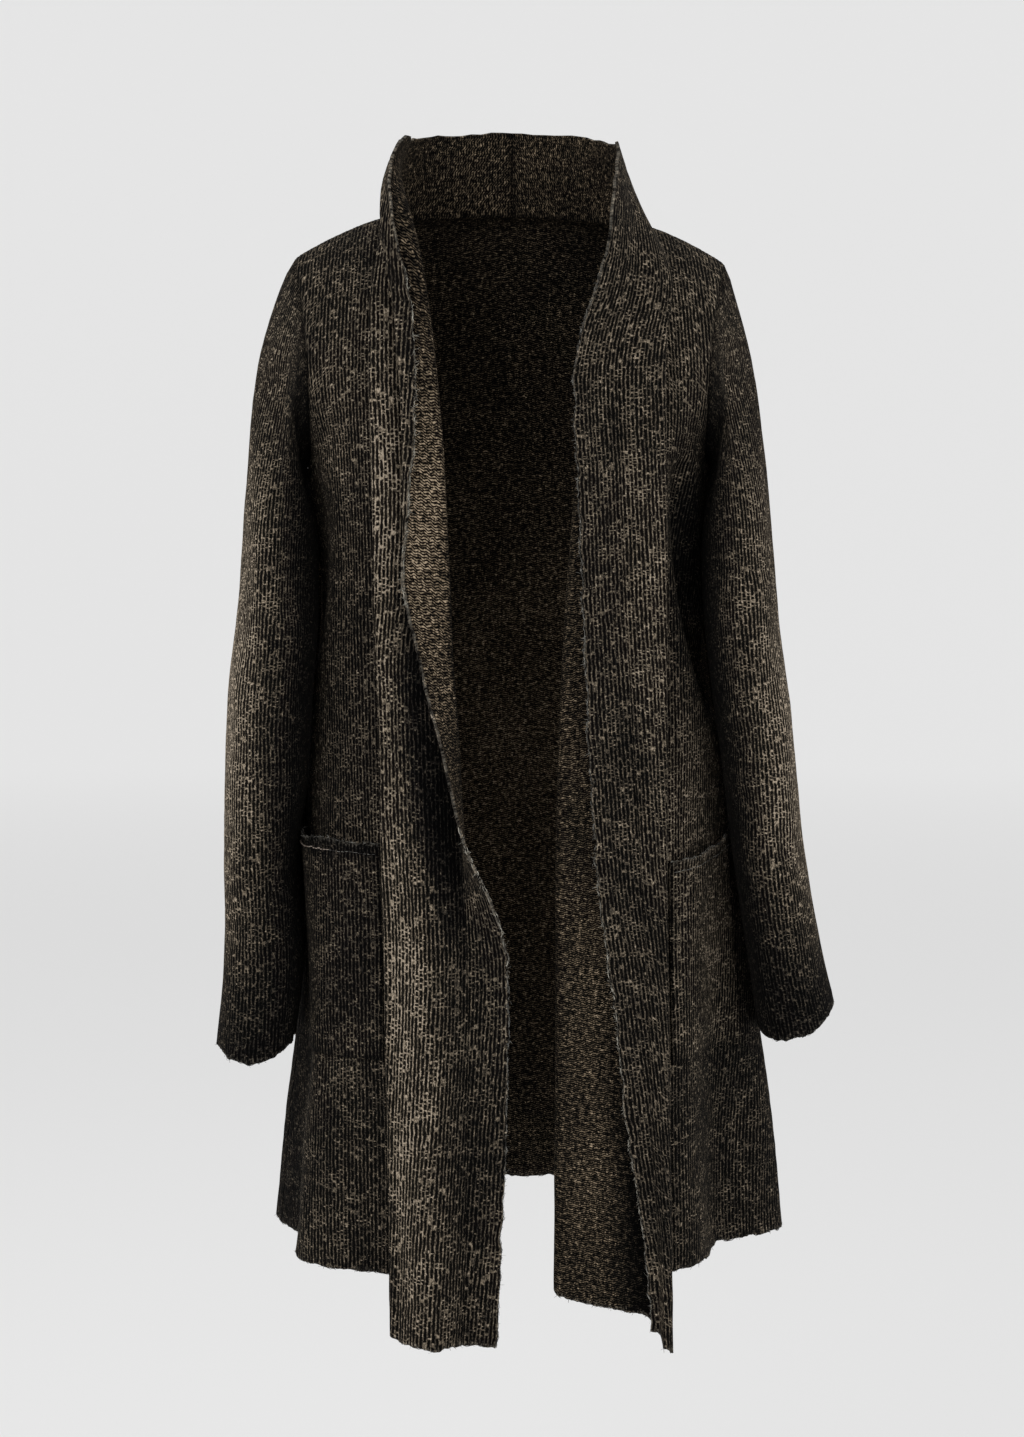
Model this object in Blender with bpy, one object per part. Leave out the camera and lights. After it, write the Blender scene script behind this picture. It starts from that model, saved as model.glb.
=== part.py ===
"""Shawl collar cardigan: a long, open, raw-edged coat in thick felted knit.

The garment hangs in the form that it has when it is worn. Its cloth is one wall, cut into
a back, two fronts, two collar bands, two sleeves and two patch pockets. Every piece is a
grid of points on a curved surface, given a thickness. Metres, +Z up, the front faces -Y,
and the origin lies midway between the two points where the shoulder seams meet the neck.
Right and left are the wearer's: the right side is at -X.
"""
import math
from collections import namedtuple

import bpy
from mathutils import Vector

COLLECTION = "shawl_collar_cardigan"

# ---- cloth ----
WALL = 0.0026            # thickness of the felted knit
SEAM_GAP = 0.0003        # between two pieces that are sewn edge to edge
SIDES = {"right": -1.0, "left": 1.0}

# ---- levels ----
UNDERARM_Z = -0.215      # where the side seam meets the armhole
NECK_BACK = 0.072        # from the shoulder seams back to the collar seam at the centre
NECK_RISE = 0.006        # how much higher the collar seam is at the centre back

# ---- body: plan sections below the underarm ----
Section = namedtuple("Section", "z right left front back roundness")
SECTIONS = (
    Section(-0.215, 0.174, 0.167, 0.118, 0.108, 2.40),
    Section(-0.300, 0.1680, 0.1640, 0.120, 0.100, 2.40),
    Section(-0.420, 0.1742, 0.1775, 0.128, 0.106, 2.35),
    Section(-0.550, 0.1828, 0.1937, 0.138, 0.130, 2.30),
    Section(-0.716, 0.198, 0.220, 0.150, 0.142, 2.25),
    Section(-0.800, 0.210, 0.232, 0.155, 0.147, 2.20),
    Section(-0.900, 0.219, 0.242, 0.160, 0.152, 2.20),
)

# place runs 0 at the side seam to 1 at the band seam, and to -1 at the centre back
Fold = namedtuple("Fold", "side place width depth top full")
FOLDS = (
    Fold("right", 0.22, 0.42, -0.026, -0.45, -0.85),
    Fold("right", 0.66, 0.30, 0.008, -0.45, -0.88),
    Fold("left", 0.50, 0.50, -0.044, -0.42, -0.88),
    Fold("right", -0.42, 0.26, -0.016, -0.42, -0.88),
    Fold("right", -0.72, 0.24, 0.013, -0.36, -0.88),
    Fold("left", -0.34, 0.26, -0.018, -0.45, -0.88),
    Fold("left", -0.66, 0.26, 0.015, -0.40, -0.88),
    Fold("right", -1.00, 0.22, -0.010, -0.50, -0.88),
    Fold("left", -1.00, 0.22, -0.010, -0.50, -0.88),
)

# a hollow runs across a front from one place and height to another
Hollow = namedtuple("Hollow", "side place z to_place to_z width depth")
HOLLOWS = (
    Hollow("left", 0.86, -0.235, 0.20, -0.400, 0.055, 0.018),
    Hollow("right", 0.30, -0.250, 0.10, -0.360, 0.045, 0.006),
)
FRONT_SPAN = 0.13        # width of a front, to measure hollows by

# ---- shoulders and armholes ----
# neck and tip: how far out the shoulder seam's two ends are
Shoulder = namedtuple("Shoulder", "neck neck_z slope sag tip armhole yoke")
SHOULDERS = {
    "right": Shoulder(0.1110, -0.003, 0.30, 2.0, 0.188, 0.172, 0.216),
    "left": Shoulder(0.1125, -0.009, 0.30, 2.4, 0.184, 0.166, 0.212),
}
NECK_SHARE = 0.58        # share of a half back's width, at the shoulders, under the neck
FRONT_ROUNDNESS = 2.15   # of the upright line over the chest to the shoulder seam
BACK_ROUNDNESS = 2.30
YOKE_RISE = 0.32         # share of the armhole's height in which the yoke widens

# ---- hems ----
BACK_HEM_Z = -0.888
SIDE_HEM_Z = -0.894
FRONT_HEM_Z = -0.898

# ---- collar bands: each hangs in a Z of three layers ----
# edge: the outer fold, which covers the seam. reach: how far the lower layer runs inwards.
# loop: radius of the two folds. strip: the top layer, from the outer fold inwards.
# turn: degrees that the layer beyond it turns out. flap: its length. curl and margin: the
# same once more for its raw edge. swell: how far the strip stands out. dent: a trough in it.
Band = namedtuple("Band", "z edge reach loop strip turn flap curl margin swell dent")
BANDS = {
    "right": (
        Band(-0.003, 0.1110, 0.014, 0.0026, 0.010, 0, 0.012, 0, 0.010, 0.000, 0.000),
        Band(-0.030, 0.1145, 0.016, 0.0030, 0.022, 70, 0.024, 60, 0.012, 0.001, 0.000),
        Band(-0.060, 0.1170, 0.020, 0.0036, 0.034, 140, 0.034, 130, 0.012, 0.002, 0.002),
        Band(-0.100, 0.1185, 0.026, 0.0042, 0.041, 160, 0.038, 160, 0.010, 0.003, 0.004),
        Band(-0.160, 0.1180, 0.038, 0.0048, 0.047, 162, 0.040, 160, 0.009, 0.004, 0.004),
        Band(-0.215, 0.1170, 0.045, 0.0050, 0.050, 162, 0.043, 150, 0.005, 0.004, 0.004),
        Band(-0.265, 0.1157, 0.050, 0.0051, 0.051, 162, 0.045, 110, 0.003, 0.004, 0.003),
        Band(-0.310, 0.1145, 0.054, 0.0052, 0.052, 160, 0.047, 20, 0.002, 0.005, 0.002),
        Band(-0.370, 0.1130, 0.057, 0.0054, 0.053, 140, 0.040, 0, 0.002, 0.007, 0.000),
        Band(-0.430, 0.1110, 0.060, 0.0056, 0.055, 115, 0.038, 0, 0.002, 0.009, 0.000),
        Band(-0.510, 0.1090, 0.063, 0.0057, 0.058, 85, 0.036, 0, 0.002, 0.011, 0.000),
        Band(-0.590, 0.1067, 0.067, 0.0060, 0.062, 25, 0.033, 0, 0.002, 0.014, 0.000),
        Band(-0.660, 0.1055, 0.071, 0.0060, 0.062, 12, 0.031, 0, 0.002, 0.016, 0.000),
        Band(-0.780, 0.1032, 0.075, 0.0062, 0.058, 8, 0.028, 0, 0.002, 0.019, 0.000),
        Band(-0.930, 0.1010, 0.078, 0.0064, 0.052, 10, 0.026, 0, 0.002, 0.022, 0.000),
    ),
    "left": (
        Band(-0.009, 0.1125, 0.014, 0.0026, 0.010, 0, 0.012, 0, 0.010, 0.000, 0.000),
        Band(-0.050, 0.1205, 0.020, 0.0036, 0.034, 6, 0.026, 0, 0.010, 0.002, 0.000),
        Band(-0.100, 0.1250, 0.040, 0.0046, 0.034, 10, 0.026, 0, 0.010, 0.003, 0.000),
        Band(-0.215, 0.1290, 0.070, 0.0056, 0.032, 12, 0.026, 0, 0.010, 0.004, 0.000),
        Band(-0.310, 0.1300, 0.080, 0.0060, 0.028, 12, 0.026, 0, 0.010, 0.004, 0.000),
        Band(-0.430, 0.1300, 0.087, 0.0062, 0.022, 10, 0.026, 0, 0.010, 0.004, 0.000),
        Band(-0.550, 0.1300, 0.090, 0.0064, 0.014, 10, 0.026, 0, 0.010, 0.003, 0.000),
        Band(-0.635, 0.1310, 0.091, 0.0066, 0.010, 8, 0.020, 0, 0.008, 0.002, 0.000),
        Band(-0.753, 0.1325, 0.093, 0.0068, 0.007, 6, 0.013, 0, 0.005, 0.001, 0.000),
        Band(-0.845, 0.1340, 0.095, 0.0070, 0.003, 5, 0.007, 0, 0.002, 0.000, 0.000),
        Band(-0.945, 0.1345, 0.097, 0.0070, 0.001, 4, 0.003, 0, 0.001, 0.000, 0.000),
    ),
}
OPEN_Z = 0.100           # depth below the shoulder at which the folds are fully closed
FLAP_ROLL = 0.005        # radius in which the flap turns out
EDGE_ROLL = 0.0034       # radius in which its raw edge turns back
COVER = 0.002            # how far the outer fold covers the seam
BAND_HEMS = {            # at the seam, the inner fold, the outer fold and the free edge
    "right": (FRONT_HEM_Z, -0.915, -0.945, -0.951),
    "left": (FRONT_HEM_Z, -0.915, -0.961, -0.940),
}
TIP_RUN = 0.16           # share of the layers beside the outer fold that its tip draws down
# the bands stand up as the collar round the neck
COLLAR_LEAN_SIDE = 72    # degrees up from the neck opening, at the shoulder seams
COLLAR_LEAN_BACK = 84
LAPEL_TURNS = {"right": -0.105, "left": -0.150}   # below this they lie flat

# ---- sleeves: level sections below the armhole ----
Ring = namedtuple("Ring", "z outer inner middle half_depth")
SLEEVES = {
    "right": (
        Ring(-0.290, 0.2325, 0.1702, -0.022, 0.074),
        Ring(-0.352, 0.2370, 0.1695, -0.040, 0.072),
        Ring(-0.423, 0.2445, 0.1742, -0.051, 0.069),
        Ring(-0.497, 0.2473, 0.1797, -0.044, 0.066),
        Ring(-0.555, 0.2500, 0.1872, -0.030, 0.063),
        Ring(-0.650, 0.2510, 0.1834, -0.042, 0.059),
        Ring(-0.721, 0.2555, 0.1905, -0.052, 0.056),
    ),
    "left": (
        Ring(-0.290, 0.2245, 0.1667, -0.022, 0.074),
        Ring(-0.352, 0.2290, 0.1688, -0.040, 0.072),
        Ring(-0.423, 0.2375, 0.1768, -0.048, 0.069),
        Ring(-0.476, 0.2430, 0.1842, -0.050, 0.067),
        Ring(-0.555, 0.2520, 0.1940, -0.048, 0.063),
        Ring(-0.650, 0.2660, 0.2085, -0.048, 0.059),
        Ring(-0.706, 0.2785, 0.2170, -0.048, 0.057),
    ),
}
SLEEVE_ROUNDNESS = 2.2
# the cuff's edge: how much higher than the last ring it is at the outside, front and inside
CUFF_RISES = {"right": (0.006, -0.004, 0.010), "left": (0.026, 0.004, 0.000)}
HEAD_RUN = {"right": (0.50, 0.87), "left": (0.36, 0.93)}   # out and down, at the shoulder

GUSSET_RUN = 0.088       # how strongly the sleeve leaves the underarm outwards

# ---- patch pockets ----
# heights of the mouth at its outer and inner ends, and of the bottom
POCKETS = {"right": (-0.533, -0.535, -0.717), "left": (-0.537, -0.552, -0.722)}
POCKET_SIDES = {"right": 1, "left": 2}   # the front's column at the pocket's side edge
POCKET_INNER = 0.975     # place of the inner edge, 1 at the band seam
POCKET_CLEAR = 0.0031    # between the middles of the two walls at the sewn edges
POCKET_SLACK = 0.0010    # how much further apart they are between those edges
POCKET_BOW = 0.0095      # how much further the mouth stands off

# ---- mesh ----
HEM_ROWS = 15            # rows from the hem to the underarm
YOKE_ROWS = 10           # rows from the underarm to the shoulder seam
NECK_COLUMNS = 6         # columns of a half back under the neck
FRONT_COLUMNS = 8
BAND_COLUMNS = (3, 4, 3, 4, 4, 4, 2, 3, 1)   # along the nine parts of a band's section
SLEEVE_HEAD_ROWS = 6
SLEEVE_ROWS = 9
POCKET_ROWS = 6

# colour, roughness
FINISHES = {
    "back": ((0.030, 0.029, 0.028), 0.93),
    "front": ((0.042, 0.038, 0.034), 0.93),
    "collar": ((0.085, 0.070, 0.056), 0.92),
    "sleeve": ((0.055, 0.047, 0.040), 0.93),
    "pocket": ((0.038, 0.036, 0.034), 0.93),
}


def mix(a, b, share):
    """The number or vector a share of the way from a to b."""
    return a + (b - a) * share


def ease(share):
    """0 to 1 with level ends."""
    share = min(max(share, 0.0), 1.0)
    return share * share * (3.0 - 2.0 * share)


def read(rows, column, z):
    """A table's column at height z, on a smooth line through its rows."""
    if z >= rows[0].z:
        return getattr(rows[0], column)
    if z <= rows[-1].z:
        return getattr(rows[-1], column)
    heights = [row.z for row in rows]
    values = [getattr(row, column) for row in rows]
    below = next(i for i, height in enumerate(heights) if height <= z)
    above = below - 1
    step = heights[below] - heights[above]
    share = (z - heights[above]) / step
    slopes = []
    for i in (above, below):
        low, high = max(i - 1, 0), min(i + 1, len(rows) - 1)
        slopes.append((values[high] - values[low]) / (heights[high] - heights[low]) * step)
    square, cube = share ** 2, share ** 3
    return (values[above] * (2 * cube - 3 * square + 1) + slopes[0] * (cube - 2 * square + share)
            + values[below] * (3 * square - 2 * cube) + slopes[1] * (cube - square))


def hollow_depth(side, place, z):
    """How far the hollows move a front's cloth inwards at a place and height."""
    depth = 0.0
    for hollow in HOLLOWS:
        if hollow.side != side:
            continue
        run = (hollow.to_place - hollow.place) * FRONT_SPAN, hollow.to_z - hollow.z
        away = (place - hollow.place) * FRONT_SPAN, z - hollow.z
        share = (run[0] * away[0] + run[1] * away[1]) / (run[0] ** 2 + run[1] ** 2)
        share = min(max(share, 0.0), 1.0)
        gap = math.hypot(away[0] - share * run[0], away[1] - share * run[1]) / hollow.width
        if gap < 1.0:
            depth += hollow.depth * 0.5 * (1.0 + math.cos(math.pi * gap))
    return depth * ease((1.0 - place) / 0.35)


def fold_depth(side, place, z):
    """How far the body's folds move the cloth outwards at a place and height."""
    depth = 0.0
    for fold in FOLDS:
        away = abs(place - fold.place) / fold.width
        if fold.side == side and away < 1.0:
            rise = ease((fold.top - z) / (fold.top - fold.full))
            depth += fold.depth * rise * 0.5 * (1.0 + math.cos(math.pi * away))
    return depth


def plan_point(side, place, z):
    """The body below the underarm, on the section at height z."""
    half = read(SECTIONS, side, z)
    depth = read(SECTIONS, "front" if place > 0.0 else "back", z)
    power = 2.0 / read(SECTIONS, "roundness", z)
    if place > 0.0:
        seam = seam_x(side, z)
        turn = math.acos((seam / half) ** (1.0 / power)) * place
        forward = -1.0
    else:
        turn = -place * math.pi / 2.0
        forward = 1.0
    across, along = max(math.cos(turn), 0.0), math.sin(turn)
    x = half * across ** power
    y = forward * depth * along ** power
    normal = Vector((across ** (2.0 - power) / half, forward * along ** (2.0 - power) / depth, 0))
    normal.normalize()
    lift = fold_depth(side, place, z)
    if place > 0.0:
        lift -= hollow_depth(side, place, z)
    point = Vector((x, y, z)) + normal * lift
    return Vector((point.x * SIDES[side], point.y, z))


def seam_x(side, z):
    """How far out the band seam lies."""
    below = SHOULDERS[side].neck_z - z
    return read(BANDS[side], "edge", z) - COVER * ease(below / 0.05)


def shoulder_z(side, x):
    """Height of the shoulder seam, a distance x from the centre."""
    cut = SHOULDERS[side]
    run = max(x - cut.neck, 0.0)
    return cut.neck_z - cut.slope * run - cut.sag * run ** 2


def armhole_x(side, rise):
    """How far out the armhole lies, rise 0 at the underarm to 1 at the shoulder tip."""
    cut = SHOULDERS[side]
    start = read(SECTIONS, side, UNDERARM_Z)
    scoop = mix(start, cut.armhole, ease(rise / 0.25))
    return mix(scoop, cut.tip, ease((rise - 0.1) / 0.9))


def yoke_section(side, rise, front):
    """Half width, depth and power of the section that the cloth rises from to the shoulder."""
    start = read(SECTIONS, side, UNDERARM_Z)
    widest = mix(start, SHOULDERS[side].yoke, ease(rise / YOKE_RISE))
    depth = read(SECTIONS, "front" if front else "back", UNDERARM_Z)
    return widest, depth, 2.0 / read(SECTIONS, "roundness", UNDERARM_Z)


def section_angle(x, half, power):
    """The angle at which a section reaches a distance x from the centre."""
    return math.acos(min(max(x / half, 0.0), 1.0) ** (1.0 / power))


def front_point(side, place, level):
    """A front. level runs 0 at the hem, 1 at the underarm, 2 at the shoulder seam."""
    if level <= 1.0:
        hem = mix(SIDE_HEM_Z, FRONT_HEM_Z, place)
        return plan_point(side, place, mix(hem, UNDERARM_Z, level))
    rise = level - 1.0
    turn = rise * math.pi / 2.0
    climb = math.sin(turn) ** (2.0 / FRONT_ROUNDNESS)
    lean = math.cos(turn) ** (2.0 / FRONT_ROUNDNESS)
    hole = armhole_x(side, rise)
    seam = seam_x(side, mix(UNDERARM_Z, SHOULDERS[side].neck_z, climb))
    half, depth, power = yoke_section(side, rise, True)
    angle = mix(section_angle(hole, half, power), section_angle(seam, half, power), place)
    x = mix(half * math.cos(angle) ** power, mix(hole, seam, place), ease(rise))
    z = mix(UNDERARM_Z, shoulder_z(side, x), climb)
    y = -depth * math.sin(angle) ** power * lean + hollow_depth(side, place, z)
    return Vector((x * SIDES[side], y, z))


def neck_point(side, turn):
    """The collar seam round the back of the neck, turn 0 at the shoulder to 1 at the centre."""
    cut = SHOULDERS[side]
    angle = turn * math.pi / 2.0
    rise = mix(cut.neck_z, NECK_RISE, ease(turn))
    return Vector((cut.neck * math.cos(angle) * SIDES[side], NECK_BACK * math.sin(angle), rise))


def back_point(side, place, level):
    """One half of the back. place runs 0 at the side, -1 at the centre, as on the sections."""
    if level <= 1.0:
        hem = mix(SIDE_HEM_Z, BACK_HEM_Z, -place)
        return plan_point(side, place, mix(hem, UNDERARM_Z, level))
    rise = level - 1.0
    turn = rise * math.pi / 2.0
    climb = math.sin(turn) ** (2.0 / BACK_ROUNDNESS)
    lean = math.cos(turn) ** (2.0 / BACK_ROUNDNESS)
    neck_place = 1.0 - NECK_SHARE
    if -place > neck_place:
        end = neck_point(side, (-place - neck_place) / NECK_SHARE)
    else:
        out = mix(SHOULDERS[side].tip, SHOULDERS[side].neck, -place / neck_place)
        end = Vector((out * SIDES[side], 0.0, shoulder_z(side, out)))
    half, depth, power = yoke_section(side, rise, False)
    angle = mix(section_angle(armhole_x(side, rise), half, power), math.pi / 2.0, -place)
    x = mix(half * max(math.cos(angle), 0.0) ** power, abs(end.x), ease(rise))
    y = mix(end.y, depth * math.sin(angle) ** power, lean)
    return Vector((x * SIDES[side], y, mix(UNDERARM_Z, end.z, climb)))


def seam_frame(side, level):
    """Place, inward direction and outward direction where a band leaves its seam.

    level runs 0 at the hem, 2 at the shoulder seam and 3 at the centre back.
    """
    step = 0.01
    if level <= 2.0:
        here = front_point(side, 1.0, level)
        along = front_point(side, 1.0, min(level + step, 2.0)) - front_point(
            side, 1.0, max(level - step, 0.0))
        across = front_point(side, 1.0, level) - front_point(side, 1.0 - 3.0 * step, level)
        out = along.cross(across) * SIDES[side]
        inward = Vector((-SIDES[side], 0.0, 0.0))
    else:
        angle = (level - 2.0) * math.pi / 2.0
        here = neck_point(side, level - 2.0)
        across = SHOULDERS[side].neck * SIDES[side]
        along = Vector((-across * math.sin(angle), NECK_BACK * math.cos(angle), 0.0))
        inward = Vector((-here.x / SHOULDERS[side].neck ** 2, -here.y / NECK_BACK ** 2, 0.0))
        out = Vector((0.0, 0.0, 1.0))
    along.normalize()
    if level <= 1.0:
        out = Vector((0.0, -1.0, 0.0))
        along = Vector((0.0, 0.0, 1.0))
    elif level <= 2.0:
        out = mix(Vector((0.0, -1.0, 0.0)), out.normalized(), ease((level - 1.0) / 0.4))
    inward -= along * inward.dot(along)
    inward.normalize()
    out -= along * out.dot(along)
    out -= inward * out.dot(inward)
    out.normalize()
    return here, inward, out


def lean_angle(side, level, z):
    """How far the band stands up from the cloth that it is sewn to."""
    top, low = SHOULDERS[side].neck_z, LAPEL_TURNS[side]
    if level <= 2.0:
        return math.radians(COLLAR_LEAN_SIDE) * ease((z - low) / (top - low))
    share = ease(level - 2.0)
    return math.radians(mix(COLLAR_LEAN_SIDE, COLLAR_LEAN_BACK, share))


def band_profile(side, z, level):
    """A band's section: the lengths, bends and radii of its layers."""
    row = {name: read(BANDS[side], name, z) for name in Band._fields[1:]}
    below = SHOULDERS[side].neck_z - z
    row["fold"] = math.pi * ease(below / OPEN_Z) if level < 2.0 else 0.0
    return row


def profile_point(row, stretch, share):
    """A point of the band's section, in metres inwards and outwards from its seam.

    stretch counts its nine parts: lower layer, inner fold, middle layer, outer fold,
    strip, roll, flap, curl and margin.
    """
    fold, loop = row["fold"], row["loop"]
    lower = row["reach"] - loop
    middle = lower - loop + COVER
    turn, curl = math.radians(row["turn"]), math.radians(row["curl"])
    roll_run = max(FLAP_ROLL * turn, 0.003)
    curl_run = max(EDGE_ROLL * curl, 0.002)
    parts = (
        (lower, 0.0), (loop * math.pi, fold), (middle, 0.0), (loop * math.pi, -fold),
        (row["strip"], 0.0), (roll_run, turn), (max(row["flap"] - roll_run, 0.002), 0.0),
        (curl_run, -curl), (row["margin"], 0.0),
    )
    x = y = heading = 0.0
    for i, (length, bend) in enumerate(parts[:stretch + 1]):
        part = share if i == stretch else 1.0
        run, half = length * part, 0.5 * bend * part
        chord = run * (math.sin(half) / half if abs(half) > 1e-6 else 1.0)
        x += chord * math.cos(heading + half)
        y += chord * math.sin(heading + half)
        heading += bend * part
    if stretch == 4:
        y += row["swell"] * math.sin(math.pi * share) - row["dent"] * dent_shape(share)
    return x, y


def dent_shape(share):
    """A soft trough along the strip, nearer its free side."""
    away = abs(share - 0.55) / 0.35
    return 0.5 * (1.0 + math.cos(math.pi * away)) if away < 1.0 else 0.0


def hem_drop(side, stretch, share):
    """How much lower than the front's hem a band's hem lies, along its section."""
    seam, inner, outer, free = BAND_HEMS[side]
    if stretch <= 1:
        low = mix(seam, inner, (stretch + share) / 2.0)
    elif stretch == 2:
        plain = mix(inner, mix(inner, outer, 0.45), share)
        low = mix(plain, mix(inner, outer, 0.75), ease((share - 1.0 + TIP_RUN) / TIP_RUN))
    elif stretch == 3:
        low = mix(mix(inner, outer, 0.75), outer, math.sin(math.pi * min(share, 0.5)))
        if share > 0.5:
            low = mix(outer, mix(outer, free, 0.3), (share - 0.5) * 2.0)
    else:
        low = mix(mix(outer, free, 0.3), free, min((stretch - 4 + share) / 1.5, 1.0))
    return low - FRONT_HEM_Z


def band_point(side, stretch, share, level):
    """A point of the long collar band."""
    here, inward, out = seam_frame(side, level)
    z = here.z if level <= 2.0 else SHOULDERS[side].neck_z
    run, lift = profile_point(band_profile(side, z, level), stretch, share)
    lean = lean_angle(side, level, here.z)
    first = inward * math.cos(lean) + out * math.sin(lean)
    second = out * math.cos(lean) - inward * math.sin(lean)
    point = here + first * run + second * lift
    if level <= 1.0:
        point.z += hem_drop(side, stretch, share) * (1.0 - level)
    return point


def sleeve_ring(side, z, turn):
    """A level section of a sleeve. turn runs 0 inside, 0.25 front, 0.5 outside, 0.75 back."""
    rows = SLEEVES[side]
    outer, inner = read(rows, "outer", z), read(rows, "inner", z)
    angle = turn * 2.0 * math.pi
    power = 2.0 / SLEEVE_ROUNDNESS
    across, along = -math.cos(angle), -math.sin(angle)
    x = 0.5 * (outer + inner) + 0.5 * (outer - inner) * math.copysign(abs(across) ** power, across)
    y = read(rows, "middle", z) + read(rows, "half_depth", z) * math.copysign(
        abs(along) ** power, along)
    return Vector((x * SIDES[side], y, z))


def armhole_point(side, turn):
    """The armhole, from the underarm up the front to the shoulder tip and down the back."""
    if turn <= 0.5:
        return front_point(side, 0.0, 1.0 + 2.0 * turn)
    return back_point(side, 0.0, 1.0 + 2.0 * (1.0 - turn))


def cuff_rise(side, turn):
    """How much higher than the last ring the cuff's edge is."""
    outside, front, inside = CUFF_RISES[side]
    angle = turn * 2.0 * math.pi
    level = 0.5 * (outside + inside)
    return level - 0.5 * (outside - inside) * math.cos(angle) + (
        front - level) * max(math.sin(angle), 0.0) ** 2


def sleeve_point(side, turn, level):
    """A sleeve. level runs 0 at the armhole, 1 at the first ring, 2 at the cuff."""
    top, cuff = SLEEVES[side][0].z, SLEEVES[side][-1].z
    if level >= 1.0:
        z = mix(top, cuff, level - 1.0)
        point = sleeve_ring(side, z, turn)
        point.z += cuff_rise(side, turn) * (level - 1.0)
        return point
    start, end = armhole_point(side, turn), sleeve_ring(side, top, turn)
    reach = (end - start).length
    out, down = HEAD_RUN[side]
    up = 0.5 - 0.5 * math.cos(turn * 2.0 * math.pi)
    gusset = max(1.0 - up / 0.5, 0.0) ** 0.6
    leave = Vector((SIDES[side] * mix(-0.05, out, up ** 0.7), 0.0, -mix(1.0, down, up))) * reach
    leave = mix(leave, Vector((SIDES[side] * GUSSET_RUN, 0.0, 0.0)), gusset)
    arrive = (sleeve_ring(side, top - 0.01, turn) - end).normalized() * reach
    square, cube = level ** 2, level ** 3
    return (start * (2 * cube - 3 * square + 1) + leave * (cube - 2 * square + level)
            + end * (3 * square - 2 * cube) + arrive * (cube - square))


def pocket_point(side, place, level):
    """The front's own surface under a pocket, and how far the pocket stands off it."""
    outer, inner, bottom = POCKETS[side]
    start = POCKET_SIDES[side] / FRONT_COLUMNS
    span = (place - start) / (POCKET_INNER - start)
    z = mix(bottom, mix(outer, inner, span), level)
    hem = mix(SIDE_HEM_Z, FRONT_HEM_Z, place)
    low = (z - hem) / (UNDERARM_Z - hem)
    here = front_point(side, place, low)
    step = 0.004
    along = front_point(side, place, low + step) - front_point(side, place, low - step)
    across = front_point(side, place + step, low) - front_point(side, place - step, low)
    out = (along.cross(across) * SIDES[side]).normalized()
    bow = POCKET_SLACK * ease(level / 0.2) + POCKET_BOW * level ** 2
    return here + out * (POCKET_CLEAR + bow * math.sin(math.pi * span) ** 0.8)


def spaced(count, power=1.0):
    """Even shares from 0 to 1, closer together near 0 where power is above 1."""
    return [(i / count) ** power for i in range(count + 1)]


def body_levels():
    """Levels of the rows from the hem to the shoulder seam."""
    return spaced(HEM_ROWS) + [1.0 + share for share in spaced(YOKE_ROWS, 1.25)[1:]]


def front_grid(side):
    """Rows of points from the side seam and armhole to the band seam."""
    places = spaced(FRONT_COLUMNS)
    return [[front_point(side, place, level) for place in places] for level in body_levels()]


def back_grid():
    """Rows of points from the right side seam across to the left one."""
    rows = []
    for level in body_levels():
        row = []
        for side in SIDES:
            neck_place = 1.0 - NECK_SHARE
            half = [neck_place * share for share in spaced(FRONT_COLUMNS)]
            half += [mix(neck_place, 1.0, share) for share in spaced(NECK_COLUMNS)[1:]]
            points = [back_point(side, -place, level) for place in half]
            row += points if side == "right" else points[-2::-1]
        rows.append(row)
    return rows


def band_grid(side):
    """Rows of points from the seam to the free edge, hem to centre back."""
    stations = [(0, 0.0)]
    for stretch, count in enumerate(BAND_COLUMNS):
        stations += [(stretch, share) for share in spaced(count)[1:]]
    levels = body_levels() + [2.0 + share for share in spaced(NECK_COLUMNS)[1:]]
    return [[band_point(side, stretch, share, level) for stretch, share in stations]
            for level in levels]


def sleeve_grid(side):
    """Rings of points from the armhole to the cuff."""
    lower = [0.5 * share for share in spaced(YOKE_ROWS, 1.25)]
    turns = lower + [1.0 - turn for turn in lower[-2:0:-1]]
    levels = spaced(SLEEVE_HEAD_ROWS) + [1.0 + share for share in spaced(SLEEVE_ROWS)[1:]]
    return [[sleeve_point(side, turn, level) for turn in turns] for level in levels]


def pocket_grid(side):
    """Rows of points from the bottom of a pocket to its mouth."""
    places = [j / FRONT_COLUMNS for j in range(POCKET_SIDES[side], FRONT_COLUMNS)]
    places.append(POCKET_INNER)
    return [[pocket_point(side, place, level) for place in places]
            for level in spaced(POCKET_ROWS)]


def key(point):
    """Two points within a hundredth of a millimetre share a key."""
    return tuple(round(value * 1e5) for value in point)


def quads(rows, ring):
    """Index quads of a grid, which closes on itself where ring is true."""
    width = len(rows[0])
    columns = width if ring else width - 1
    for i in range(len(rows) - 1):
        for j in range(columns):
            k = (j + 1) % width
            yield (i, j), (i, k), (i + 1, k), (i + 1, j)


def face_normal(rows, quad):
    a, b, c, d = (rows[i][j] for i, j in quad)
    return (c - a).cross(d - b)


def halves(rows, quad):
    """The two triangles of a quad, split along its shorter diagonal."""
    a, b, c, d = quad
    points = [rows[i][j] for i, j in quad]
    if (points[2] - points[0]).length <= (points[3] - points[1]).length:
        return (a, b, c), (a, c, d)
    return (a, b, d), (b, c, d)


def gather_normals(pieces):
    """Normals of the whole garment, so that both sides of a seam share theirs."""
    normals = {}
    for rows, ring, flip in pieces.values():
        for quad in quads(rows, ring):
            normal = face_normal(rows, quad) * flip
            for i, j in quad:
                place = key(rows[i][j])
                normals[place] = normals.get(place, Vector()) + normal
    return {place: normal.normalized() for place, normal in normals.items()}


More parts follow.
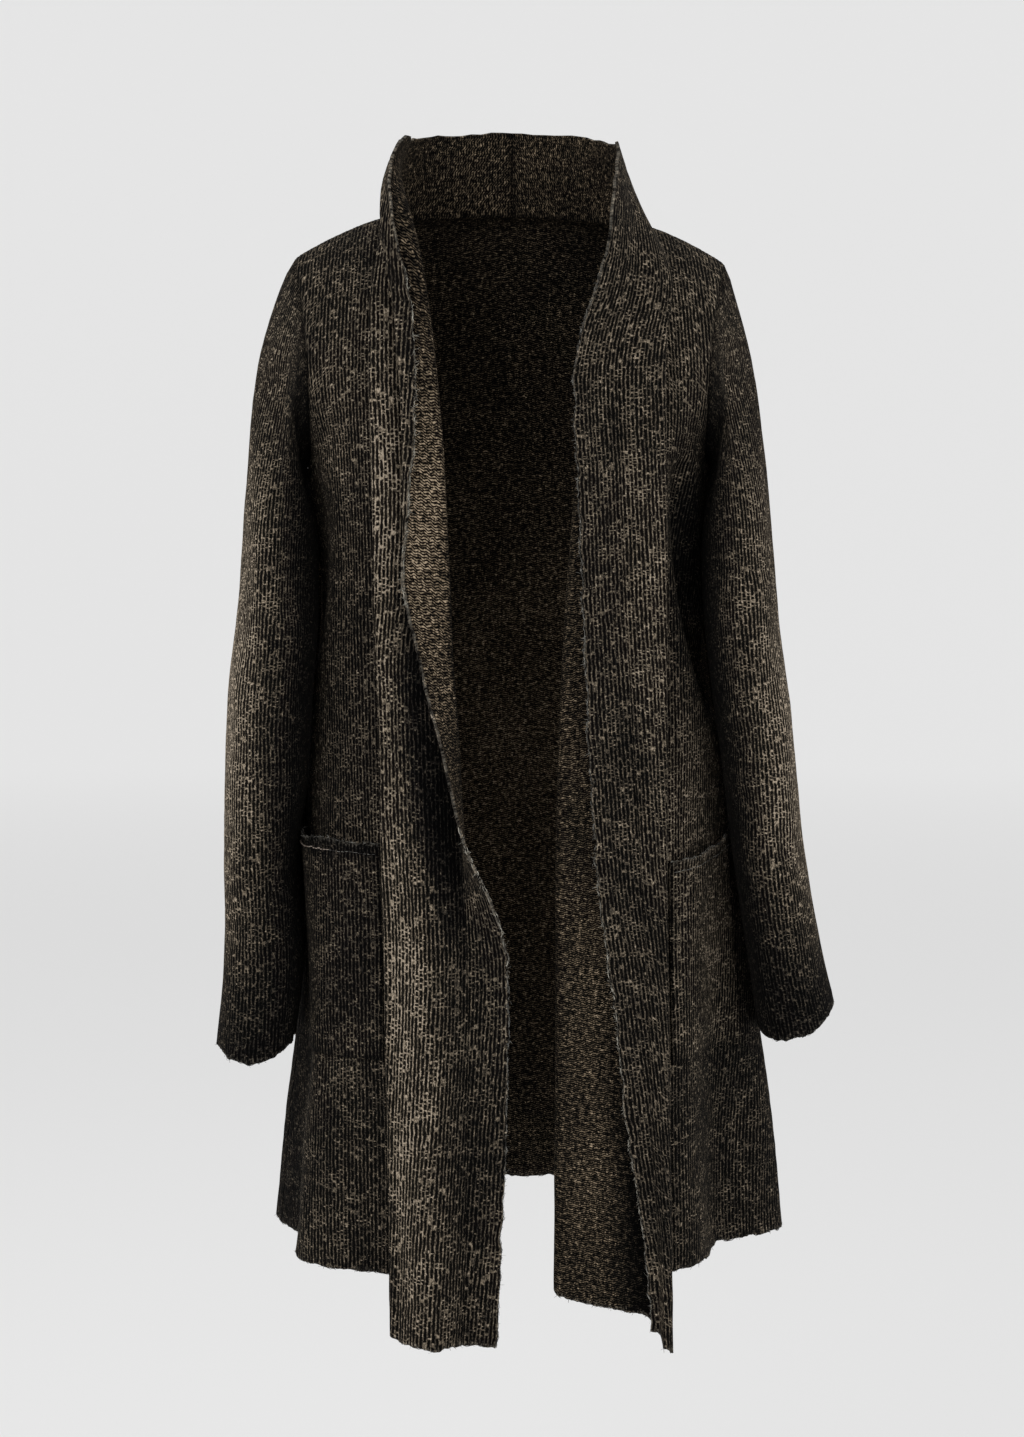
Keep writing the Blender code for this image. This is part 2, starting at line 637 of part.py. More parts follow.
def count_users(pieces):
    """How many pieces use each point, to tell a seam from a raw edge."""
    users = {}
    for rows, _, _ in pieces.values():
        for place in {key(point) for row in rows for point in row}:
            users[place] = users.get(place, 0) + 1
    return users


def seam_shift(rows, ring, i, j, users, normal):
    """Move a point of a sewn edge back into its own piece by half the seam's gap."""
    height, width = len(rows), len(rows[0])
    shift = Vector()
    edges = []
    if i in (0, height - 1):
        edges.append(((1 if i == 0 else -1), 0))
    if not ring and j in (0, width - 1):
        edges.append((0, (1 if j == 0 else -1)))
    for down, over in edges:
        ends = [(i + over, j + down), (i - over, j - down)]
        if ring:
            ends = [(a, b % width) for a, b in ends]
        ends = [(a, b) for a, b in ends if 0 <= a < height and 0 <= b < width]
        if not any(users[key(rows[a][b])] > 1 for a, b in ends):
            continue
        line = rows[ends[0][0]][ends[0][1]] - rows[ends[-1][0]][ends[-1][1]]
        if len(ends) == 1:
            line = rows[ends[0][0]][ends[0][1]] - rows[i][j]
        line.normalize()
        inward = rows[i + down][(j + over) % width] - rows[i][j]
        inward -= line * inward.dot(line)
        inward -= normal * inward.dot(normal)
        shift += inward.normalized() * SEAM_GAP / 2.0
    return shift


def cloth_wall(name, rows, ring, flip, normals, users):
    """The closed wall of one piece: an outer face, an inner face and its cut edges."""
    height, width = len(rows), len(rows[0])
    outer, inner = [], []
    for i, row in enumerate(rows):
        for j, point in enumerate(row):
            normal = normals[key(point)]
            middle = point
            if users[key(point)] > 1:
                middle = point + seam_shift(rows, ring, i, j, users, normal)
            outer.append(middle + normal * WALL / 2.0)
            inner.append(middle - normal * WALL / 2.0)
    shift = len(outer)
    faces = []
    for quad in quads(rows, ring):
        for half in halves(rows, quad):
            face = [i * width + j for i, j in half]
            faces.append(face if flip > 0 else face[::-1])
            faces.append([corner + shift for corner in (face[::-1] if flip > 0 else face)])
    rim = []
    columns = range(width if ring else width - 1)
    rim += [(j, (j + 1) % width) for j in columns]
    last = (height - 1) * width
    rim += [(last + (j + 1) % width, last + j) for j in columns]
    if not ring:
        rim += [((i + 1) * width, i * width) for i in range(height - 1)]
        rim += [(i * width + width - 1, (i + 1) * width + width - 1) for i in range(height - 1)]
    places = [key(point) for row in rows for point in row]
    for a, b in rim:
        face = (b, a, a + shift, b + shift)
        order = (0, 1, 2, 0, 2, 3) if places[a] < places[b] else (1, 2, 3, 1, 3, 0)
        for half in (order[:3], order[3:]):
            corners = [face[i] for i in half]
            faces.append(corners if flip > 0 else corners[::-1])
    mesh = bpy.data.meshes.new(name)
    mesh.from_pydata([tuple(point) for point in outer + inner], [], faces)
    mesh.update()
    mesh.shade_smooth()
    mesh.set_sharp_from_angle(angle=math.radians(50))
    return bpy.data.objects.new(name, mesh)


def finish(piece, kind):
    """Give a piece its own material."""
    colour, roughness = FINISHES[kind]
    material = bpy.data.materials.new(piece.name)
    material.use_nodes = True
    shader = material.node_tree.nodes["Principled BSDF"]
    shader.inputs["Base Color"].default_value = (*colour, 1.0)
    shader.inputs["Roughness"].default_value = roughness
    shader.inputs["Metallic"].default_value = 0.0
    piece.data.materials.append(material)


def clear_scene():
    for thing in list(bpy.data.objects):
        bpy.data.objects.remove(thing, do_unlink=True)


def main():
    clear_scene()
    collection = bpy.data.collections.new(COLLECTION)
    bpy.context.scene.collection.children.link(collection)
    sewn = {"back": (back_grid(), False, -1.0)}
    patches = {}
    for side, sign in SIDES.items():
        sewn["front_" + side] = (front_grid(side), False, -sign)
        sewn["collar_" + side] = (band_grid(side), False, -sign)
        sewn["sleeve_" + side] = (sleeve_grid(side), True, -sign)
        patches["pocket_" + side] = (pocket_grid(side), False, -sign)
    for pieces in (sewn, patches):
        normals, users = gather_normals(pieces), count_users(pieces)
        for name, (rows, ring, flip) in pieces.items():
            piece = cloth_wall(name, rows, ring, flip, normals, users)
            collection.objects.link(piece)
            finish(piece, name.split("_")[0])


main()
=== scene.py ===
import math
from collections import namedtuple

import bpy
import numpy as np
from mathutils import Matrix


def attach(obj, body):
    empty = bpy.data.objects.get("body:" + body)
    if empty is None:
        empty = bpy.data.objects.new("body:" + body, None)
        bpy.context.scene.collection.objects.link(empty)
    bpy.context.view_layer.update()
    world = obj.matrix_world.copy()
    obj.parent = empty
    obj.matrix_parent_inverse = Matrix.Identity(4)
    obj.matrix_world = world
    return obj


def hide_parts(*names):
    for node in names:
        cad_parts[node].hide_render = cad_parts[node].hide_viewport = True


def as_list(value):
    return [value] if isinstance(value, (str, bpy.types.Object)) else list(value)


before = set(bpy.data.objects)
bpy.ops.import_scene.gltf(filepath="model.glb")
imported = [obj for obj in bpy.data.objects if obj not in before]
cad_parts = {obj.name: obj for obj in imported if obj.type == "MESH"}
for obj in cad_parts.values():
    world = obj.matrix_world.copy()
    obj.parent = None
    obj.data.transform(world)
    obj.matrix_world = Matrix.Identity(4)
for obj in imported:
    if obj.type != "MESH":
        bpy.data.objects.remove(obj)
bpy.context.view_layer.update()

# Long open cardigan in thick felted rib knit. Every piece is a sheet of cloth on the form
# that the frame gives it, with its ribs raised, its raw edges frayed and its colour sprayed
# over the surface; a few dark and light patches in that colour are painted shade and light.
# Right and left are the wearer's: the right side is at -X.

# ---- cloth ----
WALL = 0.0026            # thickness of the felted knit
RIB = 0.0034             # from one rib to the next, on the right side
EYELET = 0.0037          # from one eyelet to the next along a broken groove
COURSE = 0.0020          # from one row to the next, on the wrong side
STRETCH = {"collar_right": 1.25}   # rows pulled further apart
RIB_DEPTH = 0.00026
SEAM_DEPTH = 0.0009      # how far the cloth dips at a seam
SEAM_HALF = 0.0018
COLUMN_STEP = 0.00125    # mesh: across the ribs
ROW_STEP = 0.0085        # mesh: along the ribs
SIDES = {"right": -1.0, "left": 1.0}

# ---- levels ----
UNDERARM_Z = -0.215      # where the side seam meets the armhole
NECK_BACK = 0.072        # from the shoulder seams back to the collar seam at the centre
NECK_RISE = 0.006        # how much higher the collar seam is at the centre back

# ---- body: plan sections below the underarm ----
# right and left are half widths, front and back are depths, and 2 is an oval's roundness
Section = namedtuple("Section", "z right left front back roundness")
SECTIONS = (
    Section(-0.215, 0.174, 0.167, 0.118, 0.108, 2.40),
    Section(-0.300, 0.1680, 0.1640, 0.120, 0.100, 2.40),
    Section(-0.420, 0.1742, 0.1775, 0.128, 0.106, 2.35),
    Section(-0.550, 0.1828, 0.1937, 0.138, 0.130, 2.30),
    Section(-0.716, 0.198, 0.220, 0.150, 0.142, 2.25),
    Section(-0.800, 0.210, 0.232, 0.155, 0.147, 2.20),
    Section(-0.900, 0.219, 0.242, 0.160, 0.152, 2.20),
)

# place runs 0 at the side seam to 1 at the band seam, and to -1 at the centre back
Fold = namedtuple("Fold", "place width depth top full")
FOLDS = {
    "right": (
        Fold(0.22, 0.42, -0.026, -0.45, -0.85),
        Fold(0.66, 0.30, 0.008, -0.45, -0.88),
        Fold(-0.42, 0.26, -0.016, -0.42, -0.88),
        Fold(-0.72, 0.24, 0.013, -0.36, -0.88),
        Fold(-1.00, 0.22, -0.010, -0.50, -0.88),
    ),
    "left": (
        Fold(0.50, 0.50, -0.044, -0.42, -0.88),
        Fold(-0.34, 0.26, -0.018, -0.45, -0.88),
        Fold(-0.66, 0.26, 0.015, -0.40, -0.88),
        Fold(-1.00, 0.22, -0.010, -0.50, -0.88),
    ),
}

# a hollow runs across a front from one place and height to another
Hollow = namedtuple("Hollow", "place z to_place to_z width depth")
HOLLOWS = {
    "right": Hollow(0.30, -0.250, 0.10, -0.360, 0.045, 0.006),
    "left": Hollow(0.86, -0.235, 0.20, -0.400, 0.055, 0.018),
}
FRONT_SPAN = 0.13        # width of a front, to measure hollows by
HOLLOW_END = 0.35        # share of a front in which they fade out at the band

# ---- shoulders and armholes ----
# x and height at the neck, fall of the seam, x of its tip and of the armhole over the chest,
# and half the yoke's width
Shoulder = namedtuple("Shoulder", "neck neck_z slope sag tip armhole yoke")
SHOULDERS = {
    "right": Shoulder(0.1110, -0.003, 0.30, 2.0, 0.188, 0.172, 0.216),
    "left": Shoulder(0.1125, -0.009, 0.30, 2.4, 0.184, 0.166, 0.212),
}
NECK_SHARE = 0.58        # share of a half back's width, at the shoulders, under the neck
FRONT_ROUNDNESS = 2.15   # of the upright line over the chest to the shoulder seam
BACK_ROUNDNESS = 2.30
YOKE_RISE = 0.32         # share of the armhole's height in which the yoke widens
ARMHOLE_RISE = 0.25      # share in which the armhole comes in over the chest
TIP_START = 0.1          # share from which it goes out to the shoulder's tip
SHOULDER_TURN = 0.4      # share in which a band turns from facing ahead to lying on the front

# ---- hems ----
BACK_HEM_Z = -0.888
SIDE_HEM_Z = -0.894
FRONT_HEM_Z = -0.898

# ---- collar bands: each hangs in a Z of three layers ----
# edge is the outer fold's x, reach the inner layer's length, loop a fold's radius and strip the
# outer layer's length. The lapel turns out by degrees and its flap ends in a margin that curls
# back. Swell and dent shape the strip.
Band = namedtuple("Band", "z edge reach loop strip turn flap curl margin swell dent")
BANDS = {
    "right": (
        Band(-0.003, 0.1110, 0.014, 0.0026, 0.010, 0, 0.012, 0, 0.010, 0.000, 0.000),
        Band(-0.030, 0.1145, 0.016, 0.0030, 0.022, 70, 0.024, 60, 0.012, 0.001, 0.000),
        Band(-0.060, 0.1170, 0.020, 0.0036, 0.034, 140, 0.034, 130, 0.012, 0.002, 0.002),
        Band(-0.100, 0.1185, 0.026, 0.0042, 0.041, 160, 0.038, 160, 0.010, 0.003, 0.004),
        Band(-0.160, 0.1180, 0.038, 0.0048, 0.047, 162, 0.040, 160, 0.009, 0.004, 0.004),
        Band(-0.215, 0.1170, 0.045, 0.0050, 0.050, 162, 0.043, 150, 0.005, 0.004, 0.004),
        Band(-0.265, 0.1157, 0.050, 0.0051, 0.051, 162, 0.045, 110, 0.003, 0.004, 0.003),
        Band(-0.310, 0.1145, 0.054, 0.0052, 0.052, 160, 0.047, 20, 0.002, 0.005, 0.002),
        Band(-0.370, 0.1130, 0.057, 0.0054, 0.053, 140, 0.040, 0, 0.002, 0.007, 0.000),
        Band(-0.430, 0.1110, 0.060, 0.0056, 0.055, 115, 0.038, 0, 0.002, 0.009, 0.000),
        Band(-0.510, 0.1090, 0.063, 0.0057, 0.058, 85, 0.036, 0, 0.002, 0.011, 0.000),
        Band(-0.590, 0.1067, 0.067, 0.0060, 0.062, 25, 0.033, 0, 0.002, 0.014, 0.000),
        Band(-0.660, 0.1055, 0.071, 0.0060, 0.062, 12, 0.031, 0, 0.002, 0.016, 0.000),
        Band(-0.780, 0.1032, 0.075, 0.0062, 0.058, 8, 0.028, 0, 0.002, 0.019, 0.000),
        Band(-0.930, 0.1010, 0.078, 0.0064, 0.052, 10, 0.026, 0, 0.002, 0.022, 0.000),
    ),
    "left": (
        Band(-0.009, 0.1125, 0.014, 0.0026, 0.010, 0, 0.012, 0, 0.010, 0.000, 0.000),
        Band(-0.050, 0.1205, 0.020, 0.0036, 0.034, 6, 0.026, 0, 0.010, 0.002, 0.000),
        Band(-0.100, 0.1250, 0.040, 0.0046, 0.034, 10, 0.026, 0, 0.010, 0.003, 0.000),
        Band(-0.215, 0.1290, 0.070, 0.0056, 0.032, 12, 0.026, 0, 0.010, 0.004, 0.000),
        Band(-0.310, 0.1300, 0.080, 0.0060, 0.028, 12, 0.026, 0, 0.010, 0.004, 0.000),
        Band(-0.430, 0.1300, 0.087, 0.0062, 0.022, 10, 0.026, 0, 0.010, 0.004, 0.000),
        Band(-0.550, 0.1300, 0.090, 0.0064, 0.014, 10, 0.026, 0, 0.010, 0.003, 0.000),
        Band(-0.635, 0.1310, 0.091, 0.0066, 0.010, 8, 0.020, 0, 0.008, 0.002, 0.000),
        Band(-0.753, 0.1325, 0.093, 0.0068, 0.007, 6, 0.013, 0, 0.005, 0.001, 0.000),
        Band(-0.845, 0.1340, 0.095, 0.0070, 0.003, 5, 0.007, 0, 0.002, 0.000, 0.000),
        Band(-0.945, 0.1345, 0.097, 0.0070, 0.001, 4, 0.003, 0, 0.001, 0.000, 0.000),
    ),
}
OPEN_Z = 0.100           # depth below the shoulder at which the folds are fully closed
FLAP_ROLL = 0.005        # radius in which the flap turns out
EDGE_ROLL = 0.0034       # radius in which its raw edge turns back
COVER = 0.002            # how far the outer fold covers the seam
COVER_RUN = 0.05         # depth below the shoulder in which it starts to
LEAST_ROLL = 0.003       # parts of the section are never shorter than these
LEAST_PART = 0.002
DENT_PLACE, DENT_HALF = 0.55, 0.35   # on the strip
BAND_HEMS = {            # at the seam, the inner fold, the outer fold and the free edge
    "right": (FRONT_HEM_Z, -0.915, -0.945, -0.951),
    "left": (FRONT_HEM_Z, -0.915, -0.961, -0.940),
}
TIP_RUN = 0.16           # part of the middle layer in which the hem drops to the outer fold
# how far down the hem is between the inner and the outer fold, and then to the free edge
HEM_MIDDLE, HEM_NEAR, HEM_PAST = 0.45, 0.75, 0.3
COLLAR_LEAN_SIDE = 72    # degrees up from the neck opening, at the shoulder seams
COLLAR_LEAN_BACK = 84
LAPEL_TURNS = {"right": -0.105, "left": -0.150}   # below this they lie flat
RIBS_FOLLOW_EDGE = {"right": -0.160, "left": -0.050}   # below this the ribs run with it

# ---- sleeves: level sections below the armhole ----
# outer and inner are x, middle and half_depth run front to back
Ring = namedtuple("Ring", "z outer inner middle half_depth")
SLEEVES = {
    "right": (
        Ring(-0.290, 0.2325, 0.1702, -0.022, 0.074),
        Ring(-0.352, 0.2370, 0.1695, -0.040, 0.072),
        Ring(-0.423, 0.2445, 0.1742, -0.051, 0.069),
        Ring(-0.497, 0.2473, 0.1797, -0.044, 0.066),
        Ring(-0.555, 0.2500, 0.1872, -0.030, 0.063),
        Ring(-0.650, 0.2510, 0.1834, -0.042, 0.059),
        Ring(-0.721, 0.2555, 0.1905, -0.052, 0.056),
    ),
    "left": (
        Ring(-0.290, 0.2245, 0.1667, -0.022, 0.074),
        Ring(-0.352, 0.2290, 0.1688, -0.040, 0.072),
        Ring(-0.423, 0.2375, 0.1768, -0.048, 0.069),
        Ring(-0.476, 0.2430, 0.1842, -0.050, 0.067),
        Ring(-0.555, 0.2520, 0.1940, -0.048, 0.063),
        Ring(-0.650, 0.2660, 0.2085, -0.048, 0.059),
        Ring(-0.706, 0.2785, 0.2170, -0.048, 0.057),
    ),
}
SLEEVE_ROUNDNESS = 2.2
# at the outside, front and inside of the arm
CUFF_RISES = {"right": (0.006, -0.004, 0.010), "left": (0.026, 0.004, 0.000)}
HEAD_RUN = {"right": (0.50, 0.87), "left": (0.36, 0.93)}   # out and down, at the shoulder
HEAD_POWER = 0.7         # how soon up the armhole the sleeve goes outwards
GUSSET_RUN = 0.088       # how strongly the sleeve leaves the underarm outwards
GUSSET_POWER = 0.6       # and how soon that fades up the armhole
UNDERARM_IN = -0.05

# ---- patch pockets ----
# heights of the mouth at the side and at the band, and of the bottom
POCKETS = {"right": (-0.533, -0.535, -0.717), "left": (-0.537, -0.552, -0.722)}
POCKET_SIDES = {"right": 1, "left": 2}   # column of the front's grid where each starts
POCKET_INNER = 0.975     # place on the front where both end
POCKET_CLEAR = 0.0031    # from the front's middle to the pocket's
POCKET_SLACK = 0.0010    # how far a pocket bags above its bottom edge
POCKET_SLACK_RUN = 0.2
POCKET_BOWS = {"right": 0.0095, "left": 0.0050}   # and its mouth stands open
POCKET_BOW_POWER = 0.8
POCKET_FACING = 0.0085   # depth of the turned strip at the mouth

# ---- coarse grid that the pieces share at their seams ----
HEM_ROWS = 15
YOKE_ROWS = 10
YOKE_SPACING = 1.25      # closer rows at the underarm
NECK_COLUMNS = 6
FRONT_COLUMNS = 8
BAND_COLUMNS = (3, 4, 3, 4, 4, 4, 2, 3, 1)
SLEEVE_HEAD_ROWS = 6
SLEEVE_ROWS = 9
POCKET_ROWS = 6

# ---- sprayed colour, with painted shade and light in it: 0 is black, 0.4 charcoal, 1 warm beige ----
TONE_RANGE = (0.03, 1.15)
GROUND = {"back": 0.30, "front": 0.32, "collar": 0.36, "sleeve": 0.34, "pocket": 0.30}
# across is the column value of its piece, along is the height
TonePatch = namedtuple("TonePatch", "across along width length amount")
SPRAYS_AND_PAINTED_SHADING = {
    "collar_right": (
        TonePatch(4.20, -0.70, 0.50, 0.34, 0.32),
        # painted shade: blackens the strip where it turns in under the standing-off flap
        TonePatch(5.05, -0.410, 0.62, 0.15, -1.10),
        TonePatch(4.00, -0.24, 0.60, 0.16, 0.26),
        TonePatch(5.50, -0.80, 1.60, 0.30, -0.06),
        TonePatch(6.50, -0.28, 1.60, 0.14, 0.36),
    ),
    "collar_left": (
        TonePatch(2.35, -0.72, 0.36, 0.26, 0.10),
        # painted shade: darkens the wrong side next to the outer fold, in the fold's shade
        TonePatch(2.96, -0.76, 0.30, 0.26, -0.80),
        TonePatch(4.20, -0.28, 1.00, 0.22, 0.12),
        TonePatch(5.00, -0.75, 2.00, 0.20, -0.06),
    ),
    "sleeve_right": (
        TonePatch(0.42, -0.42, 0.16, 0.23, 0.36),
        TonePatch(0.60, -0.46, 0.20, 0.24, 0.22),
        TonePatch(0.40, -0.75, 0.60, 0.10, -0.34),
        # painted shade: these two darken the sleeve's inner side, where it hangs against the body
        TonePatch(0.02, -0.45, 0.15, 0.40, -0.46),
        TonePatch(0.98, -0.45, 0.14, 0.40, -0.26),
    ),
    "sleeve_left": (
        TonePatch(0.38, -0.46, 0.20, 0.20, 0.30),
        TonePatch(0.62, -0.46, 0.20, 0.24, 0.18),
        TonePatch(0.40, -0.73, 0.60, 0.11, -0.44),
        # painted shade: these two darken the sleeve's inner side, where it hangs against the body
        TonePatch(0.02, -0.45, 0.13, 0.40, -0.40),
        TonePatch(0.98, -0.45, 0.14, 0.40, -0.24),
    ),
    "front_right": (
        TonePatch(0.60, -0.17, 0.60, 0.10, 0.12),
        TonePatch(0.00, -0.85, 0.30, 0.40, -0.20),
    ),
    "front_left": (
        TonePatch(0.60, -0.15, 0.60, 0.10, 0.14),
        # painted shade: darkens the front beside the band, in the armhole's shade under the sleeve
        TonePatch(0.35, -0.29, 0.40, 0.10, -0.30),
        # lighter beige patch above the pocket: sprayed colour, and also painted light against the
        # sleeve's shadow
        TonePatch(0.60, -0.49, 0.50, 0.08, 0.20),
        TonePatch(0.20, -0.68, 0.50, 0.20, -0.10),
    ),
    "back": (
        TonePatch(0.00, -0.48, 0.30, 0.22, 0.24),
        TonePatch(-1.00, -0.80, 0.30, 0.30, -0.16),
        TonePatch(1.00, -0.80, 0.30, 0.30, -0.16),
    ),
    "pocket_right": (
        TonePatch(0.50, -0.5385, 2.00, 0.0055, -1.10),
        TonePatch(0.40, -0.64, 0.80, 0.08, -0.05),
    ),
    "pocket_left": (
        TonePatch(0.60, -0.63, 0.50, 0.12, 0.18),
    ),
}

# a soft trough or ridge between two points of one face, x and z, front -1 or back 1
Crease = namedtuple("Crease", "face x z to_x to_z width depth")
CREASES = {
    "sleeve_right": (
        Crease(-1, -0.205, -0.150, -0.190, -0.330, 0.030, -0.0050),
        Crease(-1, -0.232, -0.300, -0.212, -0.440, 0.026, -0.0030),
        Crease(-1, -0.246, -0.430, -0.205, -0.500, 0.022, -0.0028),
        Crease(-1, -0.198, -0.560, -0.240, -0.620, 0.020, -0.0022),
        Crease(1, -0.236, -0.400, -0.196, -0.450, 0.024, -0.0040),
        Crease(1, -0.196, -0.330, -0.238, -0.380, 0.024, -0.0036),
    ),
    "sleeve_left": (
        Crease(-1, 0.190, -0.140, 0.196, -0.300, 0.030, -0.0050),
        Crease(-1, 0.236, -0.330, 0.206, -0.450, 0.026, -0.0032),
        Crease(-1, 0.196, -0.500, 0.246, -0.560, 0.022, -0.0026),
        Crease(1, 0.240, -0.410, 0.200, -0.460, 0.024, -0.0040),
        Crease(1, 0.192, -0.330, 0.238, -0.390, 0.024, -0.0036),
    ),
    "back": (
        Crease(1, -0.120, -0.180, -0.060, -0.330, 0.034, -0.0040),
        Crease(1, 0.118, -0.170, 0.050, -0.350, 0.036, -0.0044),
        Crease(1, -0.060, -0.380, -0.080, -0.640, 0.036, -0.0044),
        Crease(1, 0.050, -0.400, 0.075, -0.680, 0.038, -0.0048),
    ),
}

# where a sleeve and the body's side rest on each other, the cloth swells to meet the other:
# a swelling's middle, how far it goes up and down, half its width, and its thickness
Rest = namedtuple("Rest", "z height half swell")
RESTS = {
    ("sleeve", "right"): (
        Rest(-0.219, 0.013, 0.032, 0.0030),
        Rest(-0.238, 0.050, 0.032, 0.0054),
        Rest(-0.262, 0.020, 0.032, 0.0012),
    ),
    ("body", "right"): (
        Rest(-0.219, 0.013, 0.030, 0.0022),
        Rest(-0.236, 0.050, 0.030, 0.0038),
        Rest(-0.310, 0.055, 0.018, 0.0012),
        Rest(-0.390, 0.030, 0.018, 0.0006),
        Rest(-0.487, 0.035, 0.017, 0.0013),
        Rest(-0.530, 0.045, 0.017, 0.0052),
        Rest(-0.572, 0.055, 0.017, 0.0054),
    ),
    ("sleeve", "left"): (
        Rest(-0.219, 0.013, 0.032, 0.0036),
        Rest(-0.238, 0.050, 0.032, 0.0062),
    ),
    ("body", "left"): (
        Rest(-0.219, 0.013, 0.030, 0.0026),
        Rest(-0.236, 0.050, 0.030, 0.0042),
        Rest(-0.295, 0.035, 0.018, 0.0010),
        Rest(-0.490, 0.030, 0.017, 0.0010),
    ),
}
SMOOTH_HALF = 0.032      # half the width of the resting cloth, which hangs smooth
REST_TOP = 0.0025        # the swelling starts this far above the underarm
REST_RUN = 0.003         # and is full this far down

# ---- uneven cloth: height of the bumps, and their size across and along the ribs ----
Bumps = namedtuple("Bumps", "height wide long")
LUMPS = (Bumps(0.0011, 0.045, 0.120), Bumps(0.0006, 0.018, 0.035))
RUFFLE = (Bumps(0.0013, 0.020, 0.020),)
RIB_CHANGE = (Bumps(0.5, 0.012, 0.020),)
PILLS = (Bumps(0.00018, 0.0031, 0.0090),)
RIB_WANDER = (Bumps(0.0011, 0.030, 0.090), Bumps(0.0004, 0.009, 0.030))
EDGE_WANDER = (Bumps(0.0013, 0.011, 1.0), Bumps(0.0008, 0.0045, 1.0))
WANDER_SEED = 11
LAYERED_SHARE = 0.35     # layers that lie on each other are less lumpy
SEAM_FLAT = 0.004        # cloth is flat this near a seam
SEAM_FREE = 0.030        # and lumpy this much further away
LOOSE_RUN = 0.015        # a raw edge is loose this far from a seam
RUFFLE_HALF = 0.010      # depth of the ruffle at a raw edge
EDGE_HALF = 0.006        # depth in which a raw edge wanders
RAW_HALF = 0.0012        # width of the edge's paler colour
SEAM_SHADE_HALF = 0.0022
FACING_DENT = 0.0006     # the sewing pulls a pocket in
FACING_DENT_HALF = 0.0012
FACING_RISE = 0.0005     # the turned strip is thicker
FACING_RUN = 0.002
CREASE_FACING = 0.5      # how squarely the cloth has to face for a crease to be full
RIB_SHARE = 0.7          # of RIB_DEPTH, before RIB_CHANGE is added
NOISE_SIZE = 64
SEAM_MATCH = 1e5         # points of two pieces are one where they agree to 0.01 mm
WELD = 0.00001


# ---------------------------------------------------------------- numbers

def mix(a, b, share):
    return a + (b - a) * share


def ease(share):
    """0 to 1 with level ends."""
    share = np.clip(share, 0.0, 1.0)
    return share * share * (3.0 - 2.0 * share)


def bell(away):
    """1 at 0, falling to 0 at 1 and beyond."""
    return 0.5 * (1.0 + np.cos(math.pi * np.clip(np.abs(away), 0.0, 1.0)))


def unit(vectors):
    return vectors / np.maximum(np.linalg.norm(vectors, axis=-1, keepdims=True), 1e-12)


def stack(*parts):
    return np.stack(np.broadcast_arrays(*parts), axis=-1)


def curve(start, leave, end, arrive, share):
    """A smooth line from start to end that leaves and arrives as given."""
    square, cube = share ** 2, share ** 3
    return (start * (2 * cube - 3 * square + 1) + leave * (cube - 2 * square + share)
            + end * (3 * square - 2 * cube) + arrive * (cube - square))


def read(rows, column, z):
    """A table's column at heights z, on a smooth line through its rows."""
    heights = np.array([row.z for row in rows])
    values = np.array([getattr(row, column) for row in rows], float)
    last = len(rows) - 1
    low, high = np.maximum(np.arange(last + 1) - 1, 0), np.minimum(np.arange(last + 1) + 1, last)
    slopes = (values[high] - values[low]) / (heights[high] - heights[low])
    z = np.clip(z, heights[-1], heights[0])
    below = np.clip(np.searchsorted(-heights, -z), 1, last)
    above = below - 1
    step = heights[below] - heights[above]
    share = (z - heights[above]) / step
    return curve(values[above], slopes[above] * step, values[below], slopes[below] * step, share)


def noise(x, y, seed):
    """Smooth unevenness from -1 to 1, with one bump or dip to a unit of x and y."""
    table = np.random.default_rng(seed).uniform(-1.0, 1.0, (NOISE_SIZE, NOISE_SIZE))
    x, y = np.asarray(x, float), np.asarray(y, float)
    left, low = np.floor(x).astype(int), np.floor(y).astype(int)
    across, up = ease(x - left), ease(y - low)
    corner = [[table[(low + i) % NOISE_SIZE, (left + j) % NOISE_SIZE] for j in (0, 1)]
              for i in (0, 1)]
    return mix(mix(corner[0][0], corner[0][1], across), mix(corner[1][0], corner[1][1], across), up)


def bumps(rows, x, y, seed):
    """Unevenness of the cloth, summed over a table's rows."""
    return sum(row.height * noise(x / row.wide, y / row.long, seed + i) for i, row in enumerate(rows))


# ---------------------------------------------------------------- the garment's form

def hollow_depth(side, place, z):
    """How far a front falls in where the body under it is hollow."""
    hollow = HOLLOWS[side]
    run = (hollow.to_place - hollow.place) * FRONT_SPAN, hollow.to_z - hollow.z
    away = (place - hollow.place) * FRONT_SPAN, z - hollow.z
    share = np.clip((run[0] * away[0] + run[1] * away[1]) / (run[0] ** 2 + run[1] ** 2), 0, 1)
    gap = np.hypot(away[0] - share * run[0], away[1] - share * run[1]) / hollow.width
    return hollow.depth * bell(gap) * ease((1.0 - place) / HOLLOW_END)


def fold_depth(side, place, z):
    """How far the skirt's folds stand out or in."""
    depth = 0.0
    for fold in FOLDS[side]:
        rise = ease((fold.top - z) / (fold.top - fold.full))
        depth = depth + fold.depth * rise * bell((place - fold.place) / fold.width)
    return depth


